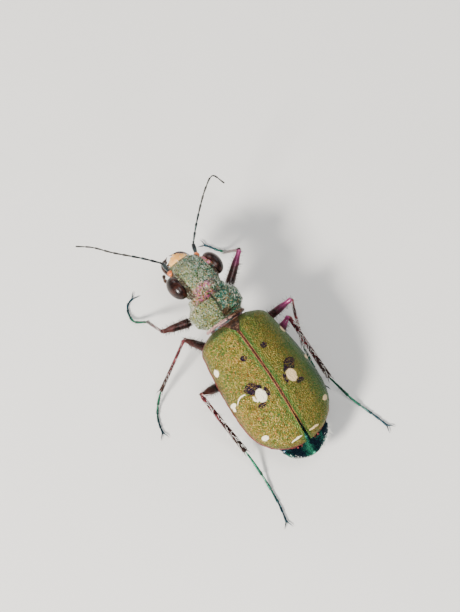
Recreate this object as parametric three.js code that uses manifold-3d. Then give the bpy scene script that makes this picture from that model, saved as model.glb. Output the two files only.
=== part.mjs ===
// A green tiger beetle at life size, standing on six legs with its head raised and its feelers out.
// Millimetres, +Z up. The head points to -Y and the beetle's left side is +X.
// The body is modelled level in its own group, with the base of the wing cases at the origin,
// and that group is then raised and pitched. The legs run from the body down to the floor.
import * as THREE from "three";
import { mergeVertices } from "three/addons/utils/BufferGeometryUtils.js";
import Module from "manifold-3d";

const wasm = await Module();
wasm.setup();

// Driving sizes
const GAP = 0.3; // left between two pieces that meet
const WALL = 0.5; // thickness of a wing case
const BODY_HEIGHT = 4.6; // of the wing cases' base above the floor
const BODY_PITCH = THREE.MathUtils.degToRad(12); // front end raised

const CASE = { length: 8.6, halfWidth: 2.9, height: 1.95, shoulder: 0.79, rim: 0.3 };
const SUTURE = { gap: 0.15, wedgeFrom: 7.3, wedgeTo: 0.42 };
const ABDOMEN = {
  from: 2.95,
  to: 9.15,
  halfWidth: 2.3,
  depth: 1.55,
  back: [[0, 1.6], [0.6, 1.5], [0.88, -0.5], [1, -0.55]],
  steps: 6,
};
const PROTHORAX = { from: -2.45, to: -0.3, halfWidth: 1.74, height: 1.22, depth: 1.25 };
const THORAX = {
  from: PROTHORAX.to + GAP,
  to: ABDOMEN.from - GAP,
  halfWidth: 1.95,
  depth: 1.75,
  top: 1.0,
};
const SCUTELLUM = { from: THORAX.from, to: 0.7, halfWidth: 0.42, top: 1.4, thickness: 0.5 };
const HEAD = {
  pivot: [-0.06, PROTHORAX.from - 0.48, 0.3],
  yaw: THREE.MathUtils.degToRad(5),
  pitch: THREE.MathUtils.degToRad(24),
  roll: THREE.MathUtils.degToRad(-6),
  length: 2.25,
  halfWidth: 1.3,
  height: 0.95,
  depth: 0.95,
};
const EYE = { centre: [1.4, -0.75, 0.36], size: [0.52, 0.84, 0.64] };
const LABRUM = { from: -2.35, to: -2.95, halfWidth: 0.66, top: 0.15, thickness: 0.5 };
const JAW_ROOT = -2.1;
const FEELER_ROOT = [1.02, -1.85, 0.22];
const FEELER_JOINTS = 9; // along the whip
const THIGH = { fore: 0.36, middle: 0.37, hind: 0.4 }; // largest radii
const SHIN = { fore: 0.26, middle: 0.25, hind: 0.27 };
const SAG = { thigh: 0.1, shin: 0.05 }; // how far the middle of a limb hangs below a straight line
const SIDES = [[1, "left"], [-1, "right"]];
const LEG_SIDES = 10;
const BLUNT = 0.6; // how far a limb's ends draw in
const FRAME_STEPS = 64; // along a limb, for the turn of its section

// Closed solids, which are cut and joined

// A closed solid of a geometry, whatever its normals and seams.
function solid(geometry) {
  const bare = geometry.index ? geometry.toNonIndexed() : geometry.clone();
  bare.deleteAttribute("normal");
  bare.deleteAttribute("uv");
  const merged = mergeVertices(bare, 1e-4);
  const corners = new Uint32Array(merged.index.array);
  const made = new wasm.Manifold(
    new wasm.Mesh({
      numProp: 3,
      vertProperties: new Float32Array(merged.attributes.position.array),
      triVerts: corners,
    }),
  );
  if (made.volume() > 0) return made;
  for (let i = 0; i < corners.length; i += 3) {
    [corners[i + 1], corners[i + 2]] = [corners[i + 2], corners[i + 1]];
  }
  return new wasm.Manifold(
    new wasm.Mesh({
      numProp: 3,
      vertProperties: new Float32Array(merged.attributes.position.array),
      triVerts: corners,
    }),
  );
}

// The largest closed surface of a solid, as a geometry again.
function largest(made) {
  const [kept] = made.decompose().sort((a, b) => b.volume() - a.volume());
  const mesh = kept.getMesh();
  const geometry = new THREE.BufferGeometry();
  geometry.setAttribute("position", new THREE.BufferAttribute(mesh.vertProperties.slice(), 3));
  geometry.setIndex(new THREE.BufferAttribute(mesh.triVerts.slice(), 1));
  geometry.computeVertexNormals();
  return geometry;
}

function moved(made, matrix) {
  return made.transform(matrix.elements);
}

function fused(pieces) {
  return pieces.reduce((sum, piece) => sum.add(piece));
}

// A drum whose wall is drawn out by place(share along, angle round), with both ends closed.
function drawn(sides, rings, place) {
  const geometry = new THREE.CylinderGeometry(1, 1, 1, sides, rings);
  const position = geometry.attributes.position;
  for (let i = 0; i < position.count; i += 1) {
    const along = position.getY(i) + 0.5;
    const out = Math.hypot(position.getX(i), position.getZ(i));
    const round = Math.atan2(position.getZ(i), position.getX(i));
    const wall = place(along, round);
    if (out < 0.5) {
      const across = place(along, round + Math.PI);
      wall.add(across).multiplyScalar(0.5);
    }
    position.setXYZ(i, wall.x, wall.y, wall.z);
  }
  return solid(geometry);
}

// Rings set close together at both ends, where a rounded form turns fastest.
function eased(share) {
  return (1 - Math.cos(Math.PI * share)) / 2;
}

// A value read from [share, value] pairs along a smooth curve.
function profile(pairs, share) {
  let value = pairs[0][1];
  for (let k = 1; k < pairs.length; k += 1) {
    const rise = pairs[k][1] - pairs[k - 1][1];
    value += rise * THREE.MathUtils.smoothstep(share, pairs[k - 1][0], pairs[k][0]);
  }
  return value;
}

// The signed power that turns a circle into a squarer or leaner round.
function bent(value, power) {
  return Math.sign(value) * Math.abs(value) ** power;
}

// A form along Y whose half width, top and bottom come from functions of the share along it.
function torso({ from, to, sides, rings, width, top, bottom, squareness = 0.85 }) {
  return drawn(sides, rings, (along, round) => {
    const share = eased(along);
    const rise = bent(Math.sin(round), squareness);
    const level = Math.min(0, top(share) - 0.25);
    return new THREE.Vector3(
      width(share) * bent(Math.cos(round), squareness),
      from + (to - from) * share,
      level + (rise > 0 ? top(share) - level : level - bottom(share)) * rise,
    );
  });
}

// A limb along a smooth line through points, with its radius read from [share, radius] pairs.
function limb(points, radii, options = {}) {
  const { sides = LEG_SIDES, rings = 8, extra = 0, flatness = 1, even = false } = options;
  const line = new THREE.CatmullRomCurve3(points, false, "centripetal");
  const steps = line.computeFrenetFrames(FRAME_STEPS, false);
  return drawn(sides, rings, (along, round) => {
    const share = even ? along : eased(along);
    const k = Math.round(share * FRAME_STEPS);
    const end = along === 0 ? -1 : along === 1 ? 1 : 0;
    const radius = profile(radii, share) * (end === 0 ? 1 : BLUNT) + extra;
    return line
      .getPointAt(share)
      .addScaledVector(steps.tangents[k], end * extra)
      .addScaledVector(steps.normals[k], radius * Math.cos(round))
      .addScaledVector(steps.binormals[k], radius * flatness * Math.sin(round));
  });
}

function ball(centre, size, extra = 0, sides = 16, rings = 10) {
  const geometry = new THREE.SphereGeometry(1, sides, rings);
  geometry.scale(size[0] + extra, size[1] + extra, size[2] + extra);
  geometry.translate(...centre);
  return solid(geometry);
}

function block(low, high) {
  const size = high.map((value, i) => value - low[i]);
  const geometry = new THREE.BoxGeometry(...size);
  geometry.translate(...low.map((value, i) => value + size[i] / 2));
  return solid(geometry);
}

// A flat outline in X and Y, drawn up from one level to another.
function plate(outline, low, high) {
  const shape = new THREE.Shape(outline.map(([x, y]) => new THREE.Vector2(x, y)));
  const geometry = new THREE.ExtrudeGeometry(shape, { depth: high - low, bevelEnabled: false });
  geometry.translate(0, 0, low);
  return solid(geometry);
}

// Materials, one for each kind of surface
function finish(color, roughness, metalness) {
  return new THREE.MeshStandardMaterial({ color, roughness, metalness });
}
const OLIVE = finish(0x6b6a22, 0.45, 0.55);
const GREEN = finish(0x4d6b45, 0.45, 0.6);
const DARK = finish(0x2a1418, 0.35, 0.5);
const COPPER = finish(0x7a3440, 0.35, 0.7);
const CREAM = finish(0xd9b878, 0.5, 0);
const BLACK = finish(0x15100f, 0.25, 0.1);

const beetle = new THREE.Group();
const body = new THREE.Group();
body.position.set(0, 0, BODY_HEIGHT);
body.rotation.x = -BODY_PITCH;
beetle.add(body);
body.updateMatrixWorld(true);

function show(group, name, made, material) {
  const mesh = new THREE.Mesh(largest(made), material);
  mesh.name = name;
  group.add(mesh);
}

// Wing cases: one dome, hollowed and parted down the middle

function caseHalfWidth(share) {
  const swell = CASE.shoulder + (1 - CASE.shoulder) * Math.sin((Math.PI / 2) * Math.min(1, share / 0.6));
  const tail = share > 0.62 ? Math.max(0, 1 - ((share - 0.62) / 0.38) ** 2.5) ** 0.5 : 1;
  const front = share < 0.09 ? 1 - 0.45 * ((0.09 - share) / 0.09) ** 2 : 1;
  return CASE.halfWidth * swell * tail * front;
}

function caseHeight(share) {
  const arch = 0.7 + 0.3 * Math.sin(Math.PI * Math.min(1, share / 0.85 + 0.05));
  const tail = share > 0.5 ? Math.max(0, 1 - ((share - 0.5) / 0.5) ** 3) ** 0.5 : 1;
  return CASE.height * arch * tail;
}

// The dome, shrunk by inset all round, reaching below the level of its rim by down.
function dome(inset, down, sides = 36, rings = 17) {
  const shrink = (value) => Math.max(0.02, value - inset);
  return torso({
    from: inset * 0.6,
    to: CASE.length - inset,
    sides,
    rings,
    width: (share) => shrink(caseHalfWidth(share)),
    top: (share) => shrink(caseHeight(share)),
    bottom: () => -down,
    squareness: 0.8,
  });
}

const hollow = dome(WALL, 4);
const shellZone = dome(-GAP, CASE.rim + GAP).subtract(dome(WALL + GAP, 6));

function scutellumForm(extra) {
  const { from, to, halfWidth, top, thickness } = SCUTELLUM;
  const wide = halfWidth + extra;
  const point = 0.05 + extra * 0.5;
  const shoulder = from + 0.35 * (to - from);
  const outline = [
    [-wide, from - extra],
    [wide, from - extra],
    [wide * 0.8, shoulder],
    [point, to + extra],
    [-point, to + extra],
    [-wide * 0.8, shoulder],
  ];
  return plate(outline, top - thickness - extra, top + extra * 3);
}

// One half of the dome, cut along the suture, which opens towards the tip
function wingCase(side) {
  const edge = [
    [SUTURE.gap, -1],
    [SUTURE.gap, SUTURE.wedgeFrom],
    [SUTURE.wedgeTo, CASE.length + 0.1],
    [SUTURE.wedgeTo, CASE.length + 1],
    [4, CASE.length + 1],
    [4, -1],
  ].map(([x, y]) => [side * x, y]);
  const half = plate(side > 0 ? edge : edge.reverse(), -2, 4);
  return dome(0, CASE.rim).subtract(hollow).intersect(half).subtract(scutellumForm(GAP));
}

show(body, "wing_case_left", wingCase(1), OLIVE);
show(body, "wing_case_right", wingCase(-1), OLIVE);
show(body, "scutellum", scutellumForm(0), COPPER);

// Abdomen: a tapering keel under the wing cases, in overlapping rings, its tip showing behind

function abdomenForm() {
  const { from, to, halfWidth, depth, steps } = ABDOMEN;
  const taper = (share) => Math.max(0.1, 1 - Math.max(0, (share - 0.25) / 0.8) ** 2.4);
  const ringed = (share) => 1 - 0.045 * ((share * steps) % 1);
  return torso({
    from,
    to,
    sides: 20,
    rings: 18,
    width: (share) => halfWidth * taper(share) ** 0.75 * ringed(share),
    top: (share) => profile(ABDOMEN.back, share),
    bottom: (share) => -depth * (0.6 + 0.4 * taper(share)) * ringed(share),
    squareness: 0.9,
  });
}

// Coxae: the hip pieces, set into sockets in the underside

const HIPS = {
  fore: { root: [0.5, -1.5, -0.75], end: [0.95, -1.5, -1.55], radii: [[0, 0.52], [0.6, 0.5], [1, 0.34]] },
  middle: { root: [0.55, 0.75, -1.0], end: [1.0, 0.9, -1.95], radii: [[0, 0.55], [0.6, 0.52], [1, 0.34]] },
  hind: { root: [0.5, 2.2, -1.1], end: [1.2, 2.75, -1.95], radii: [[0, 0.62], [0.6, 0.58], [1, 0.36]] },
};

function hipForm(hip, side, extra) {
  const root = new THREE.Vector3(side * hip.root[0], hip.root[1], hip.root[2]);
  const end = new THREE.Vector3(side * hip.end[0], hip.end[1], hip.end[2]);
  const middle = root.clone().lerp(end, 0.5).add(new THREE.Vector3(side * 0.08, 0, -0.05));
  return limb([root, middle, end], hip.radii, { rings: 6, extra });
}

function withoutHips(made, hip) {
  return made.subtract(hipForm(hip, 1, GAP)).subtract(hipForm(hip, -1, GAP));
}

// Thorax: the deep part that carries the two hind pairs of legs, narrow in front

function thoraxForm() {
  const { from, to, halfWidth, depth, top } = THORAX;
  const neck = (share) => 0.55 + 0.45 * THREE.MathUtils.smoothstep(share, 0, 0.35);
  return torso({
    from,
    to,
    sides: 22,
    rings: 8,
    width: (share) => halfWidth * neck(share),
    top: () => top,
    bottom: (share) => -depth * (0.6 + 0.4 * neck(share)),
    squareness: 0.8,
  });
}

const underCases = (made) => made.subtract(shellZone);
const thoraxWithSockets = withoutHips(withoutHips(thoraxForm(), HIPS.middle), HIPS.hind);
show(body, "thorax", underCases(thoraxWithSockets).subtract(scutellumForm(GAP)), COPPER);
show(body, "abdomen", withoutHips(underCases(abdomenForm()), HIPS.hind), DARK);

// Prothorax: a short barrel, waisted by a groove near each end and parted by a fine middle line

function prothoraxForm() {
  const { from, to, halfWidth, height, depth } = PROTHORAX;
  const groove = (share, at, wide) => Math.exp(-(((share - at) / wide) ** 2));
  const waist = (share) =>
    profile([[0, 0.72], [0.42, 1], [0.68, 0.97], [0.88, 0.74], [1, 0.78]], share);
  const lift = (share) => 1 - 0.14 * groove(share, 0.16, 0.05) - 0.16 * groove(share, 0.86, 0.05);
  return torso({
    from,
    to,
    sides: 28,
    rings: 14,
    width: (share) => halfWidth * waist(share) * (1 - 0.04 * groove(share, 0.86, 0.05)),
    top: (share) => height * (0.82 + 0.18 * Math.sin(Math.PI * share)) * lift(share),
    bottom: (share) => -depth * (0.85 + 0.15 * Math.sin(Math.PI * share)),
    squareness: 0.88,
  });
}

show(body, "prothorax", withoutHips(prothoraxForm(), HIPS.fore), GREEN);

// Head: a deflexed capsule with a sloping brow, in a group turned on the neck

const head = new THREE.Group();
head.position.set(...HEAD.pivot);
head.rotation.set(HEAD.pitch, HEAD.roll, HEAD.yaw, "ZXY");
body.add(head);
head.updateMatrix();

function eyeForm(side, extra) {
  const [x, y, z] = EYE.centre;
  return ball([side * x, y, z], EYE.size, extra, 18, 11);
}

function headForm() {
  const width = (share) =>
    HEAD.halfWidth * profile([[0, 0.72], [0.3, 0.94], [0.5, 1], [0.8, 0.86], [1, 0.62]], share);
  return torso({
    from: 0.45,
    to: -HEAD.length,
    sides: 26,
    rings: 11,
    width,
    top: (share) => HEAD.height * profile([[0, 0.72], [0.35, 0.98], [0.6, 0.9], [1, 0.3]], share),
    bottom: (share) => -HEAD.depth * profile([[0, 0.8], [0.5, 1], [1, 0.55]], share),
    squareness: 0.9,
  });
}

function feelerSocket(side) {
  const [x, y, z] = FEELER_ROOT;
  return ball([side * x, y, z], [0.2, 0.2, 0.2], GAP, 12, 8);
}

function labrumForm() {
  const { from, to, halfWidth, top, thickness } = LABRUM;
  const outline = [
    [-halfWidth * 0.9, from],
    [-halfWidth, from - 0.3],
    [-halfWidth * 0.7, to + 0.12],
    [-0.2, to + 0.02],
    [0, to - 0.14],
    [0.2, to + 0.02],
    [halfWidth * 0.7, to + 0.12],
    [halfWidth, from - 0.3],
    [halfWidth * 0.9, from],
  ];
  const pitched = new THREE.Matrix4().makeRotationX(0.12);
  return moved(plate(outline, top - thickness, top), pitched);
}

// Mandibles: two sickles with teeth on the inner edge, closed below the upper lip
function mandible(side) {
  const at = (x, y, z) => new THREE.Vector3(side * x, y, z);
  const blade = limb(
    [at(0.6, -2.1, -0.85), at(0.72, -2.75, -1.02), at(0.6, -3.2, -1.08), at(0.14, -3.5, -1.1)],
    [[0, 0.32], [0.35, 0.3], [0.7, 0.24], [1, 0.06]],
    { sides: 8, rings: 9, flatness: 0.8 },
  );
  const teeth = [
    [0.5, -3.0, 0.26],
    [0.54, -2.72, 0.3],
  ].map(([x, y, reach]) =>
    limb(
      [at(x + 0.15, y, -1.04), at(x - reach / 2, y - 0.08, -1.06), at(x - reach, y - 0.2, -1.08)],
      [[0, 0.18], [1, 0.05]],
      { sides: 6, rings: 3 },
    ),
  );
  return fused([blade, ...teeth]);
}

// Palps: the outer pair reach forward beside the jaws and the inner pair hang below them
function palp(side, joints) {
  return limb(
    joints.map(([x, y, z]) => new THREE.Vector3(side * x, y, z)),
    [[0, 0.25], [0.45, 0.22], [0.55, 0.25], [0.9, 0.2], [1, 0.1]],
    { sides: 8, rings: 9 },
  );
}
const OUTER_PALP = [
  [1.0, -1.75, -1.2],
  [1.28, -2.35, -1.45],
  [1.25, -2.9, -1.55],
  [1.0, -3.3, -1.7],
];
const INNER_PALP = [
  [0.36, -2.0, -1.4],
  [0.42, -2.5, -1.75],
  [0.42, -2.95, -1.85],
  [0.34, -3.25, -2.0],
];

const labrumRoom = block([-1.2, LABRUM.to - 0.4, -0.75], [1.2, LABRUM.from + GAP, 1]);
const jawRoom = block([-1.6, -4.4, -1.4], [1.6, JAW_ROOT, -0.2]);
const behindJaw = block([-2, JAW_ROOT - GAP, -2], [2, 1, 2]);
const collarRoom = moved(
  block([-4, PROTHORAX.from - GAP, -4], [4, 4, 4]),
  head.matrix.clone().invert(),
);
const rooms = [labrumRoom, jawRoom, collarRoom];
for (const side of [1, -1]) rooms.push(eyeForm(side, GAP), feelerSocket(side));
const skull = rooms.reduce((rest, room) => rest.subtract(room), headForm());
show(head, "head", skull, GREEN);
show(head, "labrum", labrumForm(), CREAM);
for (const [side, word] of SIDES) {
  show(head, `eye_${word}`, eyeForm(side, 0), BLACK);
  show(head, `mandible_${word}`, mandible(side).subtract(behindJaw), DARK);
  show(head, `outer_palp_${word}`, palp(side, OUTER_PALP).subtract(headForm()), COPPER);
  show(head, `inner_palp_${word}`, palp(side, INNER_PALP).subtract(headForm()), COPPER);
}

beetle.updateMatrixWorld(true);

// Feelers: a stout first joint each and a long slender whip of smaller ones
// Points are in the space of the floor
const FEELERS = {
  left: [
    [1.0, -5.6, 4.85],
    [1.9, -6.5, 5.2],
    [3.3, -7.65, 5.85],
    [4.2, -8.5, 6.3],
    [5.05, -9.05, 6.6],
  ],
  right: [
    [-1.27, -5.55, 4.9],
    [-2.15, -6.4, 5.5],
    [-3.75, -7.65, 6.5],
    [-4.45, -7.95, 6.75],
    [-4.9, -7.3, 6.2],
  ],
};
for (const [side, word] of SIDES) {
  const [rootX, rootY, rootZ] = FEELER_ROOT;
  const root = head.localToWorld(new THREE.Vector3(side * rootX, rootY, rootZ));
  const whip = FEELERS[word].map((point) => new THREE.Vector3(...point));
  const elbow = whip[0].clone();
  const firstLine = [root, root.clone().lerp(elbow, 0.5), elbow];
  const first = limb(firstLine, [[0, 0.2], [0.6, 0.27], [1, 0.24]], { rings: 4, sides: 8 });
  const radii = [];
  for (let k = 0; k < FEELER_JOINTS; k += 1) {
    const thick = THREE.MathUtils.lerp(0.25, 0.16, k / FEELER_JOINTS);
    radii.push([k / FEELER_JOINTS, thick * 0.84], [(k + 0.85) / FEELER_JOINTS, thick]);
  }
  radii.push([1, 0.08]);
  const start = elbow.clone().addScaledVector(whip[1].clone().sub(elbow).normalize(), GAP);
  const whipLine = [start, ...whip.slice(1)];
  const rest = limb(whipLine, radii, { rings: FEELER_JOINTS * 3, sides: 7, even: true });
  show(beetle, `feeler_base_${word}`, first, DARK);
  show(beetle, `feeler_whip_${word}`, rest, DARK);
}

// Legs: hip, thigh, shin and foot, each cut clear of the piece that it hangs from
// Knees, ankles and toes are in the space of the floor
const LEGS = {
  fore_left: { hip: "fore", side: 1, knee: [3.33, -2.32, 3.6], ankle: [3.28, -4.13, 1.2] },
  fore_right: { hip: "fore", side: -1, knee: [-3.55, -3.81, 4.2], ankle: [-3.38, -5.1, 1.3] },
  middle_left: { hip: "middle", side: 1, knee: [2.62, -1.04, 3.9], ankle: [5.22, 0.08, 1.1] },
  middle_right: { hip: "middle", side: -1, knee: [-4.34, 0.63, 3.9], ankle: [-3.74, 2.8, 1.1] },
  hind_left: { hip: "hind", side: 1, knee: [3.84, 2.5, 3.9], ankle: [3.19, 6.32, 1.1] },
  hind_right: { hip: "hind", side: -1, knee: [-3.53, 1.43, 3.9], ankle: [-3.83, 5.46, 1.2] },
};
const TOES = {
  fore_left: [[3.8, -4.95, 0.4], [3.7, -5.7, 0.17], [3.4, -6.15, 0.17], [2.95, -6.3, 0.17]],
  fore_right: [[-3.52, -5.5, 0.45], [-3.3, -5.9, 0.17], [-3.1, -6.25, 0.17], [-2.85, -6.6, 0.17]],
  middle_left: [[5.75, 0.5, 0.4], [6.1, 0.95, 0.17], [6.35, 1.5, 0.17], [6.5, 2.1, 0.17]],
  middle_right: [[-3.7, 3.8, 0.4], [-3.65, 4.4, 0.17], [-3.6, 4.9, 0.17], [-3.5, 5.4, 0.17]],
  hind_left: [[3.12, 8.1, 0.4], [3.2, 9.2, 0.17], [3.35, 10.2, 0.17], [3.6, 11.2, 0.17]],
  hind_right: [[-4.35, 7.2, 0.4], [-4.7, 8.2, 0.17], [-4.95, 9.0, 0.17], [-5.15, 9.8, 0.17]],
};
const FLOOR_CUT = block([-12, -14, -3], [12, 16, 0]);

const FOOT_RADII = [
  [0, 0.25],
  [0.3, 0.26],
  [0.34, 0.21],
  [0.52, 0.25],
  [0.55, 0.2],
  [0.74, 0.24],
  [0.77, 0.19],
  [0.95, 0.21],
  [1, 0.18],
];

// A jointed foot that lies along the floor, with two claws spread at its end
function clawedFoot(points) {
  const line = limb(points, FOOT_RADII, { sides: 8, rings: 15, even: true });
  const [before, last] = points.slice(-2);
  const ahead = last.clone().sub(before).setZ(0).normalize();
  const across = new THREE.Vector3(-ahead.y, ahead.x, 0);
  const claws = [-1, 1].map((way) =>
    limb(
      [
        last.clone().addScaledVector(ahead, -0.12),
        last.clone().addScaledVector(ahead, 0.2).addScaledVector(across, way * 0.16),
        last.clone().addScaledVector(ahead, 0.42).addScaledVector(across, way * 0.3).setZ(0.1),
      ],
      [[0, 0.14], [1, 0.05]],
      { sides: 6, rings: 4 },
    ),
  );
  return fused([line, ...claws]);
}

for (const [name, leg] of Object.entries(LEGS)) {
  const hip = HIPS[leg.hip];
  const hipEnd = new THREE.Vector3(leg.side * hip.end[0], hip.end[1], hip.end[2]);
  hipEnd.applyMatrix4(body.matrixWorld);
  const knee = new THREE.Vector3(...leg.knee);
  const ankle = new THREE.Vector3(...leg.ankle);
  const swell = THIGH[leg.hip];
  const slim = SHIN[leg.hip];
  const thighMiddle = hipEnd.clone().lerp(knee, 0.5).setZ((hipEnd.z + knee.z) / 2 - SAG.thigh);
  const thighLine = [hipEnd, thighMiddle, knee];
  const thighRadii = [[0, 0.28], [0.35, swell], [0.7, swell * 0.85], [1, 0.25]];
  const shinMiddle = knee.clone().lerp(ankle, 0.5).setZ((knee.z + ankle.z) / 2 - SAG.shin);
  const shinLine = [knee, shinMiddle, ankle];
  const shinRadii = [[0, 0.26], [0.12, slim * 0.92], [0.85, slim * 0.88], [1, slim * 1.1]];
  const toes = TOES[name].map((point) => new THREE.Vector3(...point));
  const hipBody = hipForm(hip, leg.side, 0);
  const hipRoom = moved(hipForm(hip, leg.side, GAP), body.matrixWorld);
  const thigh = limb(thighLine, thighRadii).subtract(hipRoom);
  const thighRoom = limb(thighLine, thighRadii, { extra: GAP });
  const shin = limb(shinLine, shinRadii).subtract(thighRoom);
  const shinRoom = limb(shinLine, shinRadii, { extra: GAP });
  const foot = clawedFoot([ankle, ...toes]).subtract(shinRoom).subtract(FLOOR_CUT);
  show(body, `hip_${name}`, hipBody, DARK);
  show(beetle, `thigh_${name}`, thigh, DARK);
  show(beetle, `shin_${name}`, shin, COPPER);
  show(beetle, `foot_${name}`, foot, DARK);
}

// The origin is on the floor, under the middle of the whole outline
const outline = new THREE.Box3().setFromObject(beetle);
const middle = outline.getCenter(new THREE.Vector3());
beetle.position.set(-middle.x, -middle.y, -outline.min.z);

export default beetle;
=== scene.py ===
"""The looks of a green tiger beetle at life size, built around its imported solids.

Pieces are modelled in millimetres in the beetle's own level frame: the head points to -Y, its left
side is +X, its back is +Z, and the base of the wing cases is the origin. A finished piece is turned
into metres in the row frame, where it takes the place of the plain solids of the same parts.
"""

import logging
import math
from collections.abc import Callable, Sequence
from dataclasses import dataclass
from enum import Enum

import bpy
import numpy as np
from mathutils import Matrix, Vector


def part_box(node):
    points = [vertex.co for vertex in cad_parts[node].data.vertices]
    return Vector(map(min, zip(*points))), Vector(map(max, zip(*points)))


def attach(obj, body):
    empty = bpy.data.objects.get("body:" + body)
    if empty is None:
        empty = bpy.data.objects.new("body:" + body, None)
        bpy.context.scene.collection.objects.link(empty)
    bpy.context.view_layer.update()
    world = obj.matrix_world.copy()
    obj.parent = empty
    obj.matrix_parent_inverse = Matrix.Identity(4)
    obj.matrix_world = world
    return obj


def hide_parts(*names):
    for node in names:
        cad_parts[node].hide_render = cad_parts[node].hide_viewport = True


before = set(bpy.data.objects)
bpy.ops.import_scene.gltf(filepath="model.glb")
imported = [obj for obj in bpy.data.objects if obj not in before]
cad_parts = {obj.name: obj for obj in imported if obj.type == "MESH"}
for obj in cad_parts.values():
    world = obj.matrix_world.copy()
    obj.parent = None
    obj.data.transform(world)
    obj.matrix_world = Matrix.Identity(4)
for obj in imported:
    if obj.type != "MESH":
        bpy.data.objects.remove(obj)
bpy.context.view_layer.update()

logging.basicConfig(level=logging.INFO, format="%(message)s")
log = logging.getLogger("beetle")

MM = 0.001
SIDES = {1: "left", -1: "right"}
SEED = 1758

Point = tuple[float, float, float]
Stops = Sequence[tuple[float, float]]
Colour = tuple[float, float, float]
Array = np.ndarray
Rule = Callable[[Array], Array]
Piece = bpy.types.Object
Material = bpy.types.Material


# Where the parts stand


@dataclass(frozen=True)
class Stance:
    """How the level body frame stands on the floor, and the head on the body."""

    height: float = 4.6
    pitch: float = math.radians(12)
    head_pivot: Point = (-0.06, -2.93, 0.3)
    head_yaw: float = math.radians(5)
    head_pitch: float = math.radians(24)
    head_roll: float = math.radians(-6)
    eye_centre: Point = (1.4, -0.75, 0.36)

    @property
    def body(self) -> Matrix:
        """The level body frame, in millimetres over the floor."""
        return Matrix.Translation((0, 0, self.height)) @ Matrix.Rotation(-self.pitch, 4, "X")

    @property
    def head(self) -> Matrix:
        """The head's frame in the level body frame."""
        turn = Matrix.Rotation(self.head_yaw, 4, "Z") @ Matrix.Rotation(self.head_pitch, 4, "X")
        turn = turn @ Matrix.Rotation(self.head_roll, 4, "Y")
        return Matrix.Translation(self.head_pivot) @ turn

    @property
    def floor(self) -> Matrix:
        """The floor's frame, as the legs use it, to metres in the row frame."""
        low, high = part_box("eye_left")
        eye = self.body @ self.head @ Vector(self.eye_centre)
        shift = (low + high) / 2 / MM - eye
        return Matrix.Scale(MM, 4) @ Matrix.Translation(shift)


STANCE = Stance()
FLOOR = STANCE.floor
BODY = FLOOR @ STANCE.body
HEAD = BODY @ STANCE.head


# The bench: operators that model, join and finish


def rest_tools() -> None:
    """Leaves edit mode and deselects everything."""
    if bpy.context.object and bpy.context.object.mode != "OBJECT":
        bpy.ops.object.mode_set(mode="OBJECT")
    bpy.ops.object.select_all(action="DESELECT")


def pick(piece: Piece) -> None:
    """Selects one piece and makes it active.

    Args:
        piece: The object to work on.
    """
    rest_tools()
    piece.select_set(True)
    bpy.context.view_layer.objects.active = piece


def drum(sides: int, rings: int) -> Piece:
    """Draws a disc up along Z into a closed unit drum, ring by ring.

    Args:
        sides: Points round the drum.
        rings: Lengths along it.

    Returns:
        The drum, from Z = 0 to Z = 1.
    """
    rest_tools()
    bpy.ops.mesh.primitive_circle_add(vertices=sides, radius=1, fill_type="NGON", enter_editmode=True)
    for _ in range(rings):
        bpy.ops.mesh.extrude_region_move(TRANSFORM_OT_translate={"value": (0, 0, 1 / rings)})
    bpy.ops.mesh.select_all(action="SELECT")
    bpy.ops.mesh.normals_make_consistent(inside=False)
    bpy.ops.object.mode_set(mode="OBJECT")
    return bpy.context.object


def sheet(across: int, along: int) -> Piece:
    """Lays a unit sheet from (0, 0) to (1, 1).

    Args:
        across: Faces along X.
        along: Faces along Y.

    Returns:
        The sheet.
    """
    rest_tools()
    bpy.ops.mesh.primitive_grid_add(
        x_subdivisions=across, y_subdivisions=along, size=1, location=(0.5, 0.5, 0), enter_editmode=True
    )
    bpy.ops.object.mode_set(mode="OBJECT")
    bpy.ops.object.transform_apply(location=True, rotation=True, scale=True)
    return bpy.context.object


def read(items: bpy.types.bpy_prop_collection, name: str, width: int = 3) -> Array:
    """Reads one property of all points or faces.

    Args:
        items: The mesh's points or faces.
        name: The property.
        width: How many values it has.

    Returns:
        The values, one item to a row.
    """
    values = np.empty(len(items) * width)
    items.foreach_get(name, values)
    return values.reshape(-1, width)


def reshape(piece: Piece, place: Rule) -> Piece:
    """Moves every point of a piece by a rule.

    Args:
        piece: The object to shape.
        place: Takes the points, one to a row, and returns their new places.

    Returns:
        The same piece.
    """
    points = piece.data.vertices
    points.foreach_set("co", place(read(points, "co")).ravel())
    piece.data.update()
    return piece


def modify(piece: Piece, kind: str, **settings: object) -> Piece:
    """Adds one modifier with its settings and applies it.

    Args:
        piece: The object to work on.
        kind: The modifier's type.
        settings: Its properties by name.

    Returns:
        The same piece.
    """
    pick(piece)
    bpy.ops.object.modifier_add(type=kind)
    modifier = piece.modifiers[-1]
    for name, value in settings.items():
        setattr(modifier, name, value)
    bpy.ops.object.modifier_apply(modifier=modifier.name)
    return piece


def roughen(piece: Piece, pattern: str, size: float, depth: float) -> Piece:
    """Presses a fine relief into a piece along its normals.

    Args:
        piece: The object to work on.
        pattern: The texture's type.
        size: The relief's grain, in the piece's own units.
        depth: From its lowest to its highest.

    Returns:
        The same piece.
    """
    grain = bpy.data.textures.new("grain", type=pattern)
    grain.noise_scale = size
    modify(piece, "DISPLACE", texture=grain, strength=depth, mid_level=0.5, texture_coords="LOCAL")
    bpy.data.textures.remove(grain)
    return piece


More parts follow.
